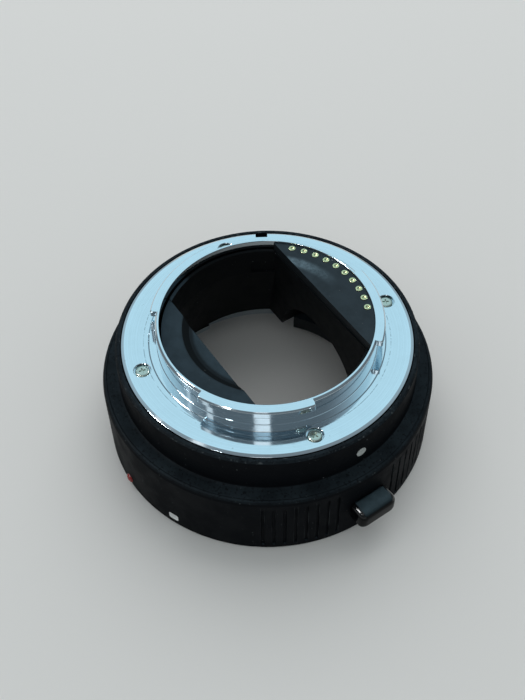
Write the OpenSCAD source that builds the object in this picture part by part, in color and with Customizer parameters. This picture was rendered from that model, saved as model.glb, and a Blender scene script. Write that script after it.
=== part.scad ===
// Autofocus lens mount adapter: a wide front mount for the lens, a narrow bayonet for the camera.
// The origin is the centre of the front flange face. +Z points to the camera, +Y to the lens index.

/* [Stack] */
// Distance from the front flange face to the rear flange face
flange_gap = 26; // [24:0.1:30]
// Height of the front barrel, up to the shoulder
barrel_h = 17.1; // [16.2:0.1:18.5]
// Thickness of the shoulder plate of the rear housing
shoulder_t = 1.4; // [1:0.1:2]
// How far the shoulder rises from its rim to the neck
shoulder_rise = 0.3; // [0:0.05:0.6]
// How far the front rim of the barrel sits behind the flange face
rim_setback = 0.1; // [0.05:0.05:0.5]

/* [Rear mount ring] */
// Outer diameter of the rear flange
rear_flange_d = 60; // [59:0.1:62]
// Thickness of the rear flange plate
rear_plate_t = 1.6; // [1.3:0.1:2.2]
// Width of the bevel on the rim of the rear flange
flange_bevel = 0.6; // [0.2:0.1:0.9]
// Bore through the bayonet
bayonet_bore_d = 43.6; // [43:0.1:44]
// Wall of the bayonet tube
bayonet_wall = 0.85; // [0.7:0.05:1]
// Height of the bayonet above the rear flange
bayonet_h = 5.4; // [4.8:0.1:6]
// Reach of a bayonet tab past the tube
tab_reach = 1.25; // [0.9:0.05:1.4]
// Thickness of a bayonet tab
tab_t = 1.55; // [1.2:0.05:2]
// Depth of the centring spigot below the flange plate
spigot_h = 1.4; // [1:0.1:1.8]
// Wall of the centring spigot
spigot_wall = 2.2; // [2:0.1:2.4]
// Width of the notch that the lock pin of the camera drops into
notch_w = 2.6; // [2:0.1:3.2]
// Length of that notch, measured in from the rim
notch_l = 1.5; // [1:0.1:2.2]
// Angle of that notch
notch_angle = 329; // [320:1:335]
// Diameter of the stop pin beside the last tab
stop_pin_d = 1; // [0.8:0.1:1.2]
// Height of the stop pin above the rear flange
stop_pin_h = 3; // [2:0.1:3.6]

/* [Rear housing] */
// Gap round the rear flange
rim_gap = 0.2; // [0.1:0.05:0.3]
// Width of the black rim round the rear flange
rim_w = 1.1; // [0.9:0.05:1.5]
// How far that rim stands below the flange face
rim_drop = 0.3; // [0.1:0.05:0.6]
// Bevel of the rim
rim_bevel = 0.45; // [0.2:0.05:0.6]
// Wall of the neck
neck_wall = 1.8; // [1.4:0.1:2]
// Thickness of the ledge that carries the rear mount ring
ledge_t = 4.2; // [3.9:0.1:4.6]

/* [Front barrel] */
// Width of the shoulder between the neck and the barrel wall
shoulder_w = 3.6; // [3.5:0.1:4.5]
// Wall of the barrel
barrel_wall = 1.7; // [1.5:0.1:1.9]
// Width of the raised lip round the shoulder
lip_w = 0.85; // [0.6:0.05:1]
// Bevel on the edges of the barrel
barrel_bevel = 0.4; // [0.2:0.05:0.6]
// Thickness of the web behind the front mount ring
web_t = 2.4; // [2.2:0.1:2.8]
// Number of grip grooves beside the lever, on the index side
short_grip_n = 8; // [4:1:8]
// Number of grip grooves beside the lever, on the contact side
long_grip_n = 16; // [8:1:18]
// Angle from one grip groove to the next
grip_pitch = 3.6; // [3.4:0.1:3.8]
// Width of a grip groove
grip_groove_w = 0.7; // [0.4:0.05:1]
// Depth of a grip groove
grip_groove_d = 0.35; // [0.2:0.05:0.5]

/* [Front mount ring] */
// Thickness of the front mount ring
front_ring_t = 3; // [2.8:0.1:3.4]
// Diameter of the front throat, inside the lugs
throat_d = 54.8; // [54.2:0.1:55]
// Thickness of a lug of the front mount
lug_t = 1.7; // [1.4:0.1:1.9]
// Diameter of the groove behind the lugs
groove_d = 57.6; // [57.2:0.1:57.8]
// Share of a third of a turn that a lug takes, in degrees
lug_angle = 66; // [56:1:70]
// Bevel on the mouth of the throat
throat_bevel = 0.5; // [0.2:0.1:0.8]
// Thickness of a leaf spring
leaf_t = 0.3; // [0.2:0.05:0.35]
// How far a leaf spring bows forward
leaf_bow = 0.5; // [0.3:0.05:0.6]

/* [Screws] */
// Head diameter of the mount screws
screw_head_d = 2.9; // [2.4:0.1:3]
// Head height of the mount screws
screw_head_h = 0.75; // [0.6:0.05:0.9]
// Shank diameter of the mount screws
screw_d = 1.4; // [1.2:0.1:1.5]
// Head diameter of the small screws
small_head_d = 2.1; // [1.8:0.1:2.2]
// Shank diameter of the small screws
small_screw_d = 1.1; // [0.9:0.1:1.2]
// Radius that the rear mount screws stand on
rear_screw_r = 26.6; // [26.4:0.1:27]
// Angle of the first rear mount screw
rear_screw_angle = 76.5; // [74:0.5:79]

/* [Light baffle] */
// Clear height between the two straight edges
window_h = 25.8; // [24:0.1:27]
// Depth of the index side plate below the top of the bayonet
plate_drop = 2.3; // [2:0.1:2.8]
// Wall of the baffle where it passes through the bayonet
baffle_wall = 0.7; // [0.6:0.05:0.9]
// Diameter of the light path at the front end of the baffle
baffle_mouth_d = 45.2; // [44:0.1:46]
// Thickness of the straight walls
side_wall_t = 1.2; // [1:0.1:1.5]
// Thickness of the flange of the baffle
baffle_flange_t = 1.2; // [1:0.1:1.4]
// Depth of the chamber in front of the baffle flange, behind the web
chamber_h = 3.2; // [3:0.1:3.6]
// Radius of the arch over the front contacts
arch_r = 13.6; // [12:0.1:14]
// Depth of the arch behind the straight edge
arch_depth = 6.1; // [5.6:0.1:6.4]

/* [Rear contacts] */
// Angle from one rear contact to the next
rear_contact_pitch = 7.37; // [6.8:0.01:7.5]
// Angle of the middle of the rear contacts
rear_contact_mid = 278.2; // [276:0.1:279]
// Diameter of a rear contact
rear_contact_d = 1.45; // [1.2:0.05:1.5]
// Drop of the contact block face below the top of the bayonet
block_drop = 0.5; // [0.4:0.05:0.8]

/* [Front contacts] */
// Angle from one front pin to the next
front_pin_pitch = 8; // [7.4:0.1:8.2]
// Radius that the front pins stand on
front_pin_r = 23.6; // [23.4:0.1:23.8]
// Diameter of a front pin
front_pin_d = 1; // [0.8:0.1:1.1]
// How far a front pin stands out of its block
front_pin_out = 1.4; // [1.2:0.1:1.6]
// Travel of a front pin
front_pin_travel = 1; // [0.8:0.1:1]

/* [Release] */
// Angle of the release lever and of the lock pin
lever_angle = 182; // [178:1:184]
// Width of the lever
lever_w = 8; // [7.6:0.1:9]
// Height of the lever
lever_h = 5.2; // [5:0.1:6]
// Reach of the lever past the barrel
lever_reach = 4; // [3:0.1:5]
// Diameter of the lock pin
lock_pin_d = 2.4; // [2:0.1:2.6]
// How far the lock pin can stand out of the front flange
lock_out = 1.3; // [1:0.1:1.3]
// How far the lock pin can be drawn back from the flange face
lock_back = 0.5; // [0.3:0.1:0.6]
// Wire diameter of the lock spring
lock_wire_d = 0.4; // [0.3:0.05:0.45]

/* [Index marks] */
// Diameter of the raised lens index bead
bead_d = 2.6; // [2:0.1:2.8]
// Height of the bead above the barrel
bead_rise = 0.6; // [0.4:0.1:0.9]
// Height of the bead's middle above the front flange face
bead_z = 2.3; // [2:0.1:3]
// Side of the square index
square_w = 2.65; // [2:0.05:3]
// Height of the square's middle above the front flange face
square_z = 2.8; // [2.2:0.1:3.4]
// Angle of the square index
square_angle = 112.8; // [108:0.1:116]
// Diameter of the dot index on the neck
dot_d = 2.2; // [1.8:0.1:2.4]
// Height of the dot above the front flange face
dot_z = 20.9; // [20:0.1:22]

/* [Electronics] */
// Thickness of the circuit board
board_t = 0.8; // [0.6:0.1:1]
// Height of the board above the baffle flange
board_lift = 1.2; // [1:0.1:1.4]
// Half of the angle between the board's two posts
board_post_half = 40; // [38:1:42]
// Side of the processor chip
chip_w = 4.6; // [4:0.1:5]
// Thickness of the flexible strips
flex_t = 0.2; // [0.15:0.05:0.25]

/* [Hidden] */
$fn = 96;
small_fn = 32;
eps = 0.01;
reach = 100;
// Gap between fixed round pieces, and running gap round what slides
fit_gap = 0.05;
run_gap = 0.05;

// Rear mount
rear_z = flange_gap;
plate_z = rear_z - rear_plate_t;
spigot_z = plate_z - spigot_h;
top_z = rear_z + bayonet_h;
rear_flange_r = rear_flange_d / 2;
bore_r = bayonet_bore_d / 2;
tube_r = bore_r + bayonet_wall;
tab_r = tube_r + tab_reach;
spigot_r = bore_r + spigot_wall;
tube_bevel = bayonet_wall / 2;
tab_bevel = 0.3;
// First and last angle of each bayonet tab
tab_spans = [[220.5, 270.5], [112.5, 169.5], [355.5, 412]];
stop_pin_angle = tab_spans[2][1] - 360 + 1.7;
stop_pin_r = tube_r + stop_pin_d / 2 + 0.3;

// Rear housing
rim_r = rear_flange_r + rim_gap;
neck_r = rim_r + rim_w;
neck_in_r = neck_r - neck_wall;
rim_z = rear_z - rim_drop;
ledge_r = spigot_r + fit_gap;
ledge_z = plate_z - ledge_t;

// Front barrel
barrel_r = neck_r + shoulder_w;
barrel_in_r = barrel_r - barrel_wall;
lip_r = barrel_r - lip_w;
seat_z = barrel_h - shoulder_t;
web_z = front_ring_t;
web_top_z = web_z + web_t;
skirt_wall = 0.9;
skirt_in_r = groove_d / 2 - 0.8;
skirt_r = skirt_in_r + skirt_wall;
grip_z = 1.5;
grip_top = barrel_h - 2.4;
short_grip_angle = 35.2;
long_grip_angle = 12.5;

// Front mount ring
throat_r = throat_d / 2;
groove_r = groove_d / 2;
ring_seat_r = barrel_r - 2.45;
front_ring_r = ring_seat_r - fit_gap;
circle_r = (groove_r + front_ring_r) / 2;
front_screw_angles = [45, 135, 225, 315];
lug_mids = [30, 150, 270];

// Leaf springs behind the lugs
leaf_in_r = throat_r + 0.2;
leaf_out_r = groove_r - 0.2;
leaf_ear_r = groove_r + 1.5;
leaf_half = 20;
leaf_ear = 6.5;
leaf_chord = leaf_in_r * sin(leaf_half);
leaf_curve_r = (leaf_chord * leaf_chord + leaf_bow * leaf_bow) / (2 * leaf_bow);

// Screws
head_gap = 0.25;
head_recess = 0.15;
small_head_h = 0.7;
slot_w = 0.36;
slot_depth = 0.4;
front_screw_l = web_top_z - screw_head_h - 0.5;
post_angles = [90, 210, 330];
post_r = 1.6;
post_screw_l = 5;
ear_angles = [30, 150, 270];
ear_r = 1.7;

// Light baffle
flange_z = web_top_z + chamber_h;
flange_top = flange_z + baffle_flange_t;
mouth_r = baffle_mouth_d / 2;
tube_gap = 0.3;
neck_out_r = bore_r - tube_gap;
neck_bore_r = neck_out_r - baffle_wall;
straight_z = spigot_z - 0.4;
plate_top = top_z - plate_drop;
plate_floor = plate_top - 0.9;
plate_bottom = plate_floor - side_wall_t;
relief_r = 17.3;
relief_floor_r = 15.9;
// Shallow pocket in the bore of the baffle
pocket_angle = 329;
pocket_w = 5.2;
pocket_h = 3.2;
pocket_depth = 0.4;
half_window = window_h / 2;
side_y = half_window + side_wall_t;
arch_z = flange_z - 1.4;
arch_end_y = half_window + arch_depth;
ear_z = flange_z - 0.2;

// Rear contact block
block_r = bore_r - fit_gap;
block_face = top_z - block_drop;
block_edge_y = half_window + 0.3;
block_seat = plate_top - 0.2;
block_back_y = side_y + 0.25;
block_bottom = block_face - 4.5;
ear_seat = spigot_z;
block_ear_t = 1.1;
block_ear_angles = [236, 304];
block_leg_half = 5;
block_leg_wall = 1.35;
block_leg_r = block_r - 0.1;
block_leg_in_r = block_leg_r - block_leg_wall;
block_screw_r = (bore_r + spigot_r) / 2;
block_ear_r = spigot_r - 0.2;
contact_r = bore_r - 1.1;
rear_contact_n = 10;
pad_rise = 0.15;
pad_t = 0.3;
pad_stem_d = 0.8;
pad_stem_l = 2;

// Front contact block
front_pin_n = 8;
front_pin_bore_l = 1.2;
collar_d = front_pin_d + 0.6;
collar_t = 0.4;
spring_min_h = 0.75;
front_flex_z = flange_z - flex_t;
front_block_h = front_pin_bore_l + fit_gap + collar_t + front_pin_travel + spring_min_h;
front_block_in_r = front_pin_r - 2.6;
front_block_r = throat_r - 0.6;
front_block_z = front_flex_z - front_block_h;
front_block_screw_l = front_block_h + flex_t + baffle_flange_t - small_head_h - 0.5;
// Angle from the last pin to its block's screw, and from the screw to the end of the block
front_block_screw_step = 8.5;
front_block_end = 3.5;
front_block_screw_half = front_pin_pitch * (front_pin_n - 1) / 2 + front_block_screw_step;
front_block_half = front_block_screw_half + front_block_end;
front_flex_in_r = mouth_r + 0.2;
front_flex_out_r = front_pin_r + 1.6;
front_block_recess = small_head_h + 0.1;
chamber_z = front_block_z + front_pin_bore_l;
collar_z = chamber_z + fit_gap;
pin_wire_d = 0.16;
pin_spring_r = collar_d / 2 - pin_wire_d / 2 - 0.1;

// Release
stop_collar_t = 0.4;
stop_collar_d = lock_pin_d + 1;
carrier_h = 2.6;
carrier_z = web_top_z + lock_out + stop_collar_t + 0.1;
carrier_recess = 0.75;
lever_screw_z = carrier_z + 1.2;
lever_z = lever_screw_z - 0.4;
carrier_out_x = barrel_in_r - 0.6;
carrier_in_x = skirt_r + 0.3;
carrier_w = 7.2;
lever_gap = 0.3;
lever_in_r = barrel_r + lever_gap;
lever_corner = 1;
stem_h = 2.2;
stem_w = lever_w - 1.4;
lever_screw_y = lock_pin_d / 2 + 1.1;
lever_head_d = small_head_d - 0.2;
slot_gap = 0.3;
lock_spring_r = lock_pin_d / 2 + 0.25;
lock_tail_d = lock_pin_d - 0.7;
lock_spring_z = carrier_z + carrier_h;
lock_tail_l = (seat_z - lock_spring_z) - lock_back - 1.4;

// Electronics
board_z = flange_top + board_lift;
board_top = board_z + board_t;
board_in_r = mouth_r + 2;
board_r = barrel_in_r - 1;
board_mid = 270;
chip_r = (board_in_r + board_r) / 2;
chip_h = 0.9;
processor_angle = 250;
power_angle = 291;
power_w = 3;
connector_in_r = board_in_r + 0.8;
board_end = 8;
board_half_angle = board_post_half + board_end;
board_post_r = 1.3;
board_post_circle = board_in_r + 2;
connector_t = 0.9;
connector_l = 1.8;
connector_w = 7;
flex_w = 6;
flex_slot_gap = 0.15;
flex_up_r = groove_r - 1.7;
flex_up_angle = 292;
flex_up_half = 3;
rear_flex_y = arch_end_y + side_wall_t + 0.6;

// Index marks
bead_seat = 1;
bead_steps = 12;
mark_seat = 0.5;

black = [0.05, 0.05, 0.055];
plastic = [0.1, 0.12, 0.14];
nickel = [0.82, 0.84, 0.86];
steel = [0.6, 0.6, 0.6];
gold = [0.85, 0.68, 0.3];
white = [0.93, 0.93, 0.93];

// Helpers
module at(angle, radius, z = 0) {
    rotate([0, 0, angle]) translate([radius, 0, z]) children();
}

module ring(r_in, r_out, z0, z1) {
    difference() {
        translate([0, 0, z0]) cylinder(r = r_out, h = z1 - z0);
        translate([0, 0, z0 - 1]) cylinder(r = r_in, h = z1 - z0 + 2);
    }
}

module ring_sector(r_in, r_out, z0, z1, a0, a1) {
    rotate([0, 0, a0]) rotate_extrude(angle = a1 - a0)
        translate([r_in, z0]) square([r_out - r_in, z1 - z0]);
}

// Cross-head screw with its seat at z 0: the head above, the shank below
module screw(head_d, head_h, shank_d, shank_l) {
    difference() {
        union() {
            cylinder(d = head_d, h = head_h * 0.6, $fn = small_fn);
            translate([0, 0, head_h * 0.6])
                cylinder(d1 = head_d, d2 = head_d - 0.5, h = head_h * 0.4, $fn = small_fn);
            translate([0, 0, -shank_l]) cylinder(d = shank_d, h = shank_l + eps, $fn = small_fn);
        }
        for (turn = [0, 90]) rotate([0, 0, turn])
            translate([-head_d * 0.29, -slot_w / 2, head_h - slot_depth])
                cube([head_d * 0.58, slot_w, 1]);
    }
}

// Round coil of wire, from z 0 to z height, around the Z axis
module coil(mean_r, wire_d, height, turns, steps, sides) {
    n = turns * steps;
    rise = height - wire_d;
    points = [for (i = [0:n], k = [0:sides - 1])
        let (a = 360 * i / steps, b = 360 * k / sides, r = mean_r + wire_d / 2 * cos(b))
        [r * cos(a), r * sin(a), wire_d / 2 + rise * i / n + wire_d / 2 * sin(b)]];
    walls = [for (i = [0:n - 1], k = [0:sides - 1])
        let (m = (k + 1) % sides)
        [i * sides + k, i * sides + m, (i + 1) * sides + m, (i + 1) * sides + k]];
    ends = [[for (k = [sides - 1:-1:0]) k], [for (k = [0:sides - 1]) n * sides + k]];
    polyhedron(points = points, faces = concat([for (f = walls) [f[3], f[2], f[1], f[0]]],
        [for (f = ends) [for (k = [len(f) - 1:-1:0]) f[k]]]), convexity = 4);
}

// Front barrel
module barrel_wall_body() {
    rotate_extrude() polygon([
        [barrel_r - barrel_bevel, rim_setback], [barrel_r, rim_setback + barrel_bevel],
        [barrel_r, barrel_h - barrel_bevel], [barrel_r - barrel_bevel / 2, barrel_h],
        [lip_r, barrel_h], [lip_r, seat_z], [barrel_in_r, seat_z], [barrel_in_r, web_top_z],
        [skirt_in_r, web_top_z], [skirt_in_r, web_z], [ring_seat_r, web_z], [ring_seat_r, rim_setback]
    ]);
}

module grip_groove(angle) {
    at(angle, barrel_r - grip_groove_d, grip_z)
        translate([0, -grip_groove_w / 2, 0]) cube([2, grip_groove_w, grip_top - grip_z]);
}

module front_barrel() color(black) difference() {
    barrel_wall_body();
    for (side = [0, 1]) mirror([side, 0, 0]) {
        for (i = [0:short_grip_n - 1]) grip_groove(180 - short_grip_angle + i * grip_pitch);
        for (i = [0:long_grip_n - 1]) grip_groove(180 + long_grip_angle + i * grip_pitch);
    }
    for (a = front_screw_angles) at(a, circle_r, web_z - 1)
        cylinder(d = screw_d + 2 * fit_gap, h = web_t + 2, $fn = small_fn);
    for (a = post_angles) at(a, circle_r, web_z - 1) {
        cylinder(d = screw_d + 2 * fit_gap, h = web_t + 2, $fn = small_fn);
        cylinder(d = screw_head_d + head_gap / 2, h = 1 + screw_head_h + head_recess, $fn = small_fn);
    }
    for (a = ear_angles) at(a, circle_r, web_z + 0.5)
        cylinder(d = small_screw_d + 2 * fit_gap, h = web_t, $fn = small_fn);
    for (a = lug_mids) leaf_pocket(a);
    at(lever_angle, circle_r, web_z - 1)
        cylinder(d = lock_pin_d + 2 * run_gap, h = web_t + 2, $fn = small_fn);
    rotate([0, 0, lever_angle])
        translate([barrel_in_r - 2, -stem_w / 2 - slot_gap, lever_screw_z - stem_h / 2 - lock_out - slot_gap])
        cube([6, stem_w + 2 * slot_gap, stem_h + lock_out + lock_back + 2 * slot_gap]);
    at(90, barrel_r - bead_seat, bead_z) rotate([0, 90, 0]) cylinder(d = bead_d, h = 3, $fn = small_fn);
    at(square_angle, barrel_r - mark_seat, square_z)
        translate([0, -square_w / 2, -square_w / 2]) cube([2, square_w, square_w]);
}

// Rear housing: the black rim, the neck, the shoulder plate and three posts
module rear_housing() color(black) difference() {
    union() {
        rotate_extrude() polygon([
            [rim_r, plate_z], [rim_r, rim_z], [neck_r - rim_bevel, rim_z], [neck_r, rim_z - rim_bevel],
            [neck_r, barrel_h + shoulder_rise], [neck_r + 0.4, barrel_h + shoulder_rise - 0.1],
            [lip_r - fit_gap - 0.25, barrel_h - 0.05], [lip_r - fit_gap, barrel_h - 0.3],
            [lip_r - fit_gap, seat_z], [neck_in_r, seat_z], [neck_in_r, ledge_z],
            [ledge_r, ledge_z], [ledge_r, plate_z]
        ]);
        for (a = post_angles) at(a, circle_r, web_top_z)
            cylinder(r = post_r, h = seat_z - web_top_z + eps, $fn = small_fn);
    }
    for (a = [0:3]) at(rear_screw_angle + 90 * a, rear_screw_r, ledge_z + 0.3)
        cylinder(d = screw_d + 2 * fit_gap, h = ledge_t, $fn = small_fn);
    for (a = post_angles) at(a, circle_r, web_top_z - 1)
        cylinder(d = screw_d + 2 * fit_gap, h = post_screw_l + 1, $fn = small_fn);
    at(lever_angle, neck_r - mark_seat, dot_z) rotate([0, 90, 0]) cylinder(d = dot_d, h = 2, $fn = small_fn);
}

module housing_screws() color(steel) for (a = post_angles)
    at(a, circle_r, web_z + screw_head_h + head_recess) mirror([0, 0, 1])
        screw(screw_head_d, screw_head_h, screw_d, post_screw_l);

// Rear mount ring: flange plate, spigot, bayonet tube and three tabs in one piece
module bayonet_tab(span) {
    rotate([0, 0, span[0]]) rotate_extrude(angle = span[1] - span[0]) polygon([
        [bore_r + tube_bevel / 2, top_z - tab_t], [tab_r, top_z - tab_t],
        [tab_r, top_z - tab_bevel], [tab_r - tab_bevel, top_z], [bore_r + tube_bevel / 2, top_z]
    ]);
}

module rear_mount_ring() color(nickel) difference() {
    union() {
        rotate_extrude() polygon([
            [bore_r, spigot_z], [bore_r, top_z], [tube_r - tube_bevel, top_z], [tube_r, top_z - tube_bevel],
            [tube_r, rear_z], [rear_flange_r - flange_bevel, rear_z],
            [rear_flange_r, rear_z - flange_bevel / 2], [rear_flange_r, plate_z],
            [spigot_r, plate_z], [spigot_r, spigot_z]
        ]);
        for (span = tab_spans) bayonet_tab(span);
    }
    for (a = [0:3]) at(rear_screw_angle + 90 * a, rear_screw_r, rear_z - screw_head_h - 0.1) {
        cylinder(d = screw_head_d + 2 * head_gap, h = 2, $fn = small_fn);
        translate([0, 0, -3]) cylinder(d = screw_d + 2 * fit_gap, h = 4, $fn = small_fn);
    }
    at(notch_angle, rear_flange_r - notch_l, plate_z - 1)
        translate([0, -notch_w / 2, 0]) cube([notch_l + 2, notch_w, rear_plate_t + 2]);
    for (a = block_ear_angles) at(a, block_screw_r, spigot_z - 1)
        cylinder(d = small_screw_d + 2 * fit_gap, h = spigot_h + rear_plate_t, $fn = small_fn);
    at(stop_pin_angle, stop_pin_r, rear_z - 1.2) cylinder(d = stop_pin_d, h = 2, $fn = small_fn);
}

module rear_mount_screws() color(nickel) for (a = [0:3])
    at(rear_screw_angle + 90 * a, rear_screw_r, rear_z - screw_head_h - 0.1) rotate([0, 0, 20 + 37 * a])
        screw(screw_head_d, screw_head_h, screw_d, rear_plate_t + ledge_t - screw_head_h - 0.6);

module bayonet_stop_pin() color(nickel) at(stop_pin_angle, stop_pin_r, rear_z - 1.2)
    cylinder(d = stop_pin_d, h = 1.2 + stop_pin_h, $fn = small_fn);

// Rear contact block
module rear_contact_block() color(plastic) difference() {
    union() {
        intersection() {
            translate([0, 0, block_seat]) cylinder(r = block_r, h = block_face - block_seat);
            translate([-reach, -block_edge_y - reach, 0]) cube([2 * reach, reach, reach]);
        }
        intersection() {
            translate([0, 0, block_bottom]) cylinder(r = block_r, h = block_seat - block_bottom + 1);
            translate([-reach, -block_back_y - reach, 0]) cube([2 * reach, reach, reach]);
        }
        for (a = block_ear_angles) {
            ring_sector(block_leg_in_r, block_leg_r, ear_seat - block_ear_t, block_bottom + 1,
                a - block_leg_half, a + block_leg_half);
            ring_sector(block_leg_in_r, block_ear_r, ear_seat - block_ear_t, ear_seat,
                a - block_leg_half, a + block_leg_half);
        }
    }
    for (a = block_ear_angles) at(a, block_screw_r, ear_seat - block_ear_t - 1)
        cylinder(d = small_screw_d + 2 * fit_gap, h = block_ear_t + 2, $fn = small_fn);
    for (i = [1:rear_contact_n]) at(rear_contact_angle(i), contact_r, 0) {
        translate([0, 0, block_face + pad_rise - pad_t])
            cylinder(d = rear_contact_d + 2 * fit_gap, h = 1, $fn = small_fn);
        translate([0, 0, block_face - pad_stem_l])
            cylinder(d = pad_stem_d, h = pad_stem_l, $fn = small_fn);
    }
}

function rear_contact_angle(i) = rear_contact_mid + rear_contact_pitch * (i - (rear_contact_n + 1) / 2);

module rear_contact(i) color(gold) at(rear_contact_angle(i), contact_r, block_face + pad_rise) {
    difference() {
        union() {
            translate([0, 0, -pad_t]) cylinder(d = rear_contact_d, h = pad_t - 0.1, $fn = small_fn);
            translate([0, 0, -0.1])
                cylinder(d1 = rear_contact_d, d2 = rear_contact_d - 0.3, h = 0.1, $fn = small_fn);
        }
        translate([0, 0, -0.12]) cylinder(d = rear_contact_d * 0.28, h = 1, $fn = small_fn);
    }
    translate([0, 0, -pad_rise - pad_stem_l])
        cylinder(d = pad_stem_d, h = pad_stem_l + pad_rise - pad_t + eps, $fn = small_fn);
}

module rear_block_screws() color(steel) for (a = block_ear_angles)
    at(a, block_screw_r, ear_seat - block_ear_t) mirror([0, 0, 1])
        screw(small_head_d, small_head_h, small_screw_d, block_ear_t + spigot_h + 0.5);

// Light baffle: one moulding with a tapered tube, a flange on a skirt and two straight sides
module baffle_envelope() {
    rotate_extrude() polygon([
        [0, flange_z], [mouth_r + side_wall_t, flange_z], [mouth_r + side_wall_t, flange_top],
        [neck_out_r, straight_z], [neck_out_r, plate_top + 0.2], [0, plate_top + 0.2]
    ]);
}

module baffle_bore() {
    rotate_extrude() polygon([
        [0, flange_z - 1], [mouth_r, flange_z - 1], [mouth_r, flange_z + 0.7],
        [neck_bore_r, straight_z + 0.5], [neck_bore_r, plate_top + 1], [0, plate_top + 1]
    ]);
}

module slab(y0, y1, z0, z1) {
    translate([-reach / 2, y0, z0]) cube([reach, y1 - y0, z1 - z0]);
}

module arch(radius, y0, y1) {
    translate([0, y0, arch_z]) rotate([-90, 0, 0]) cylinder(r = radius, h = y1 - y0);
}

module light_baffle() color(plastic) difference() {
    union() {
        difference() {
            baffle_envelope();
            slab(-reach / 2, -side_y, flange_top, reach);
        }
        intersection() {
            baffle_envelope();
            arch(arch_r + side_wall_t, -arch_end_y - side_wall_t, -half_window);
        }
        translate([0, 0, flange_z]) cylinder(r = skirt_r, h = baffle_flange_t);
        ring(skirt_in_r, skirt_r, web_top_z, flange_z + eps);
        for (a = ear_angles) at(a, 0, web_top_z) difference() {
            union() {
                translate([circle_r, 0, 0]) cylinder(r = ear_r, h = ear_z - web_top_z, $fn = small_fn);
                translate([skirt_in_r + 0.4, -ear_r, 0])
                    cube([circle_r - skirt_in_r - 0.4, 2 * ear_r, ear_z - web_top_z]);
            }
            translate([circle_r, 0, -1])
                cylinder(d = small_screw_d + 2 * fit_gap, h = chamber_h + 2, $fn = small_fn);
        }
        for (side = [-1, 1]) at(board_mid + side * board_post_half, board_post_circle, flange_z)
            cylinder(r = board_post_r, h = board_z - flange_z, $fn = small_fn);
    }
    intersection() {
        baffle_bore();
        slab(-half_window, half_window, 0, reach);
    }
    intersection() {
        baffle_bore();
        slab(half_window - eps, side_y, 0, straight_z);
    }
    intersection() {
        baffle_bore();
        slab(side_y - eps, reach / 2, 0, plate_bottom);
    }
    intersection() {
        baffle_envelope();
        slab(half_window, reach / 2, plate_top, reach);
    }
    intersection() {
        arch(arch_r, -arch_end_y, -half_window + 1);
        baffle_bore();
    }
    intersection() {
        translate([0, 0, plate_floor])
            cylinder(r1 = relief_floor_r, r2 = relief_r, h = plate_top - plate_floor + eps);
        slab(0, reach / 2, plate_floor, reach);
    }
    slab(-reach / 2, -half_window + eps, block_seat - 0.05, reach);
    at(pocket_angle, neck_bore_r - 0.5, straight_z + 0.3)
        translate([0, -pocket_w / 2, 0]) cube([0.5 + pocket_depth, pocket_w, pocket_h]);
    for (side = [-1, 1]) at(board_mid + side * board_post_half, board_post_circle, flange_z + 0.4)
        cylinder(d = small_screw_d + 2 * fit_gap, h = 5, $fn = small_fn);
    for (side = [-1, 1]) at(270 + side * front_block_screw_half, front_pin_r, flange_z - 1)
        cylinder(d = small_screw_d + 2 * fit_gap, h = 1 + baffle_flange_t - 0.2, $fn = small_fn);
    ring_sector(flex_up_r - flex_slot_gap, flex_up_r + flex_t + flex_slot_gap, flange_z - 1, flange_top + 1,
        flex_up_angle - flex_up_half - 1, flex_up_angle + flex_up_half + 1);
}

module baffle_screws() color(steel) for (a = ear_angles) at(a, circle_r, ear_z)
    screw(small_head_d, small_head_h, small_screw_d, chamber_h + web_t - 0.9);

// Front mount ring: three lugs in front of the groove
module front_mount_ring() color(nickel) difference() {
    union() {
        ring(groove_r, front_ring_r, 0, front_ring_t);
        for (a = lug_mids)
            ring_sector(throat_r, groove_r + 0.2, 0, lug_t, a - lug_angle / 2, a + lug_angle / 2);
    }
    translate([0, 0, -eps])
        cylinder(r1 = throat_r + throat_bevel, r2 = throat_r, h = throat_bevel);
    for (a = front_screw_angles) at(a, circle_r, -1) {
        cylinder(d = screw_head_d + 2 * head_gap, h = 1.1 + screw_head_h, $fn = small_fn);
        cylinder(d = screw_d + 2 * fit_gap, h = front_ring_t + 2, $fn = small_fn);
    }
    at(lever_angle, circle_r, -1)
        cylinder(d = lock_pin_d + 2 * run_gap, h = front_ring_t + 2, $fn = small_fn);
}

module front_mount_screws() color(steel) for (a = front_screw_angles)
    at(a, circle_r, 0.1 + screw_head_h) rotate([0, 0, a / 2]) mirror([0, 0, 1])
        screw(screw_head_d, screw_head_h, screw_d, front_screw_l);

// Leaf springs: a bowed strip in the groove, with a flat ear at each end in a pocket of the web
module leaf_pocket(mid) {
    for (side = [0, 1]) rotate([0, 0, mid]) mirror([0, side, 0])
        ring_sector(skirt_in_r - 1, leaf_ear_r + 0.1, web_z - 0.5, web_z + leaf_t,
            leaf_half / 2, leaf_half + leaf_ear + 0.5);
}

module leaf_spring(i) color(steel) rotate([0, 0, lug_mids[i - 1]]) {
    intersection() {
        ring_sector(leaf_in_r, leaf_out_r, web_z - 2, web_z + leaf_t, -leaf_half, leaf_half);
        translate([0, 0, web_z - leaf_bow + leaf_curve_r]) rotate([0, 90, 0]) difference() {
            cylinder(r = leaf_curve_r, h = reach, $fn = 720);
            translate([0, 0, -1]) cylinder(r = leaf_curve_r - leaf_t, h = reach + 2, $fn = 720);
        }
    }
    for (side = [-1, 1]) rotate([0, 0, side * (leaf_half + leaf_ear / 2 - 0.2)])
        ring_sector(leaf_in_r, leaf_ear_r, web_z, web_z + leaf_t, -leaf_ear / 2, leaf_ear / 2);
}

// Front contact block with its sprung pins
function front_pin_angle(i) = 270 + front_pin_pitch * (i - (front_pin_n + 1) / 2);

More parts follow.
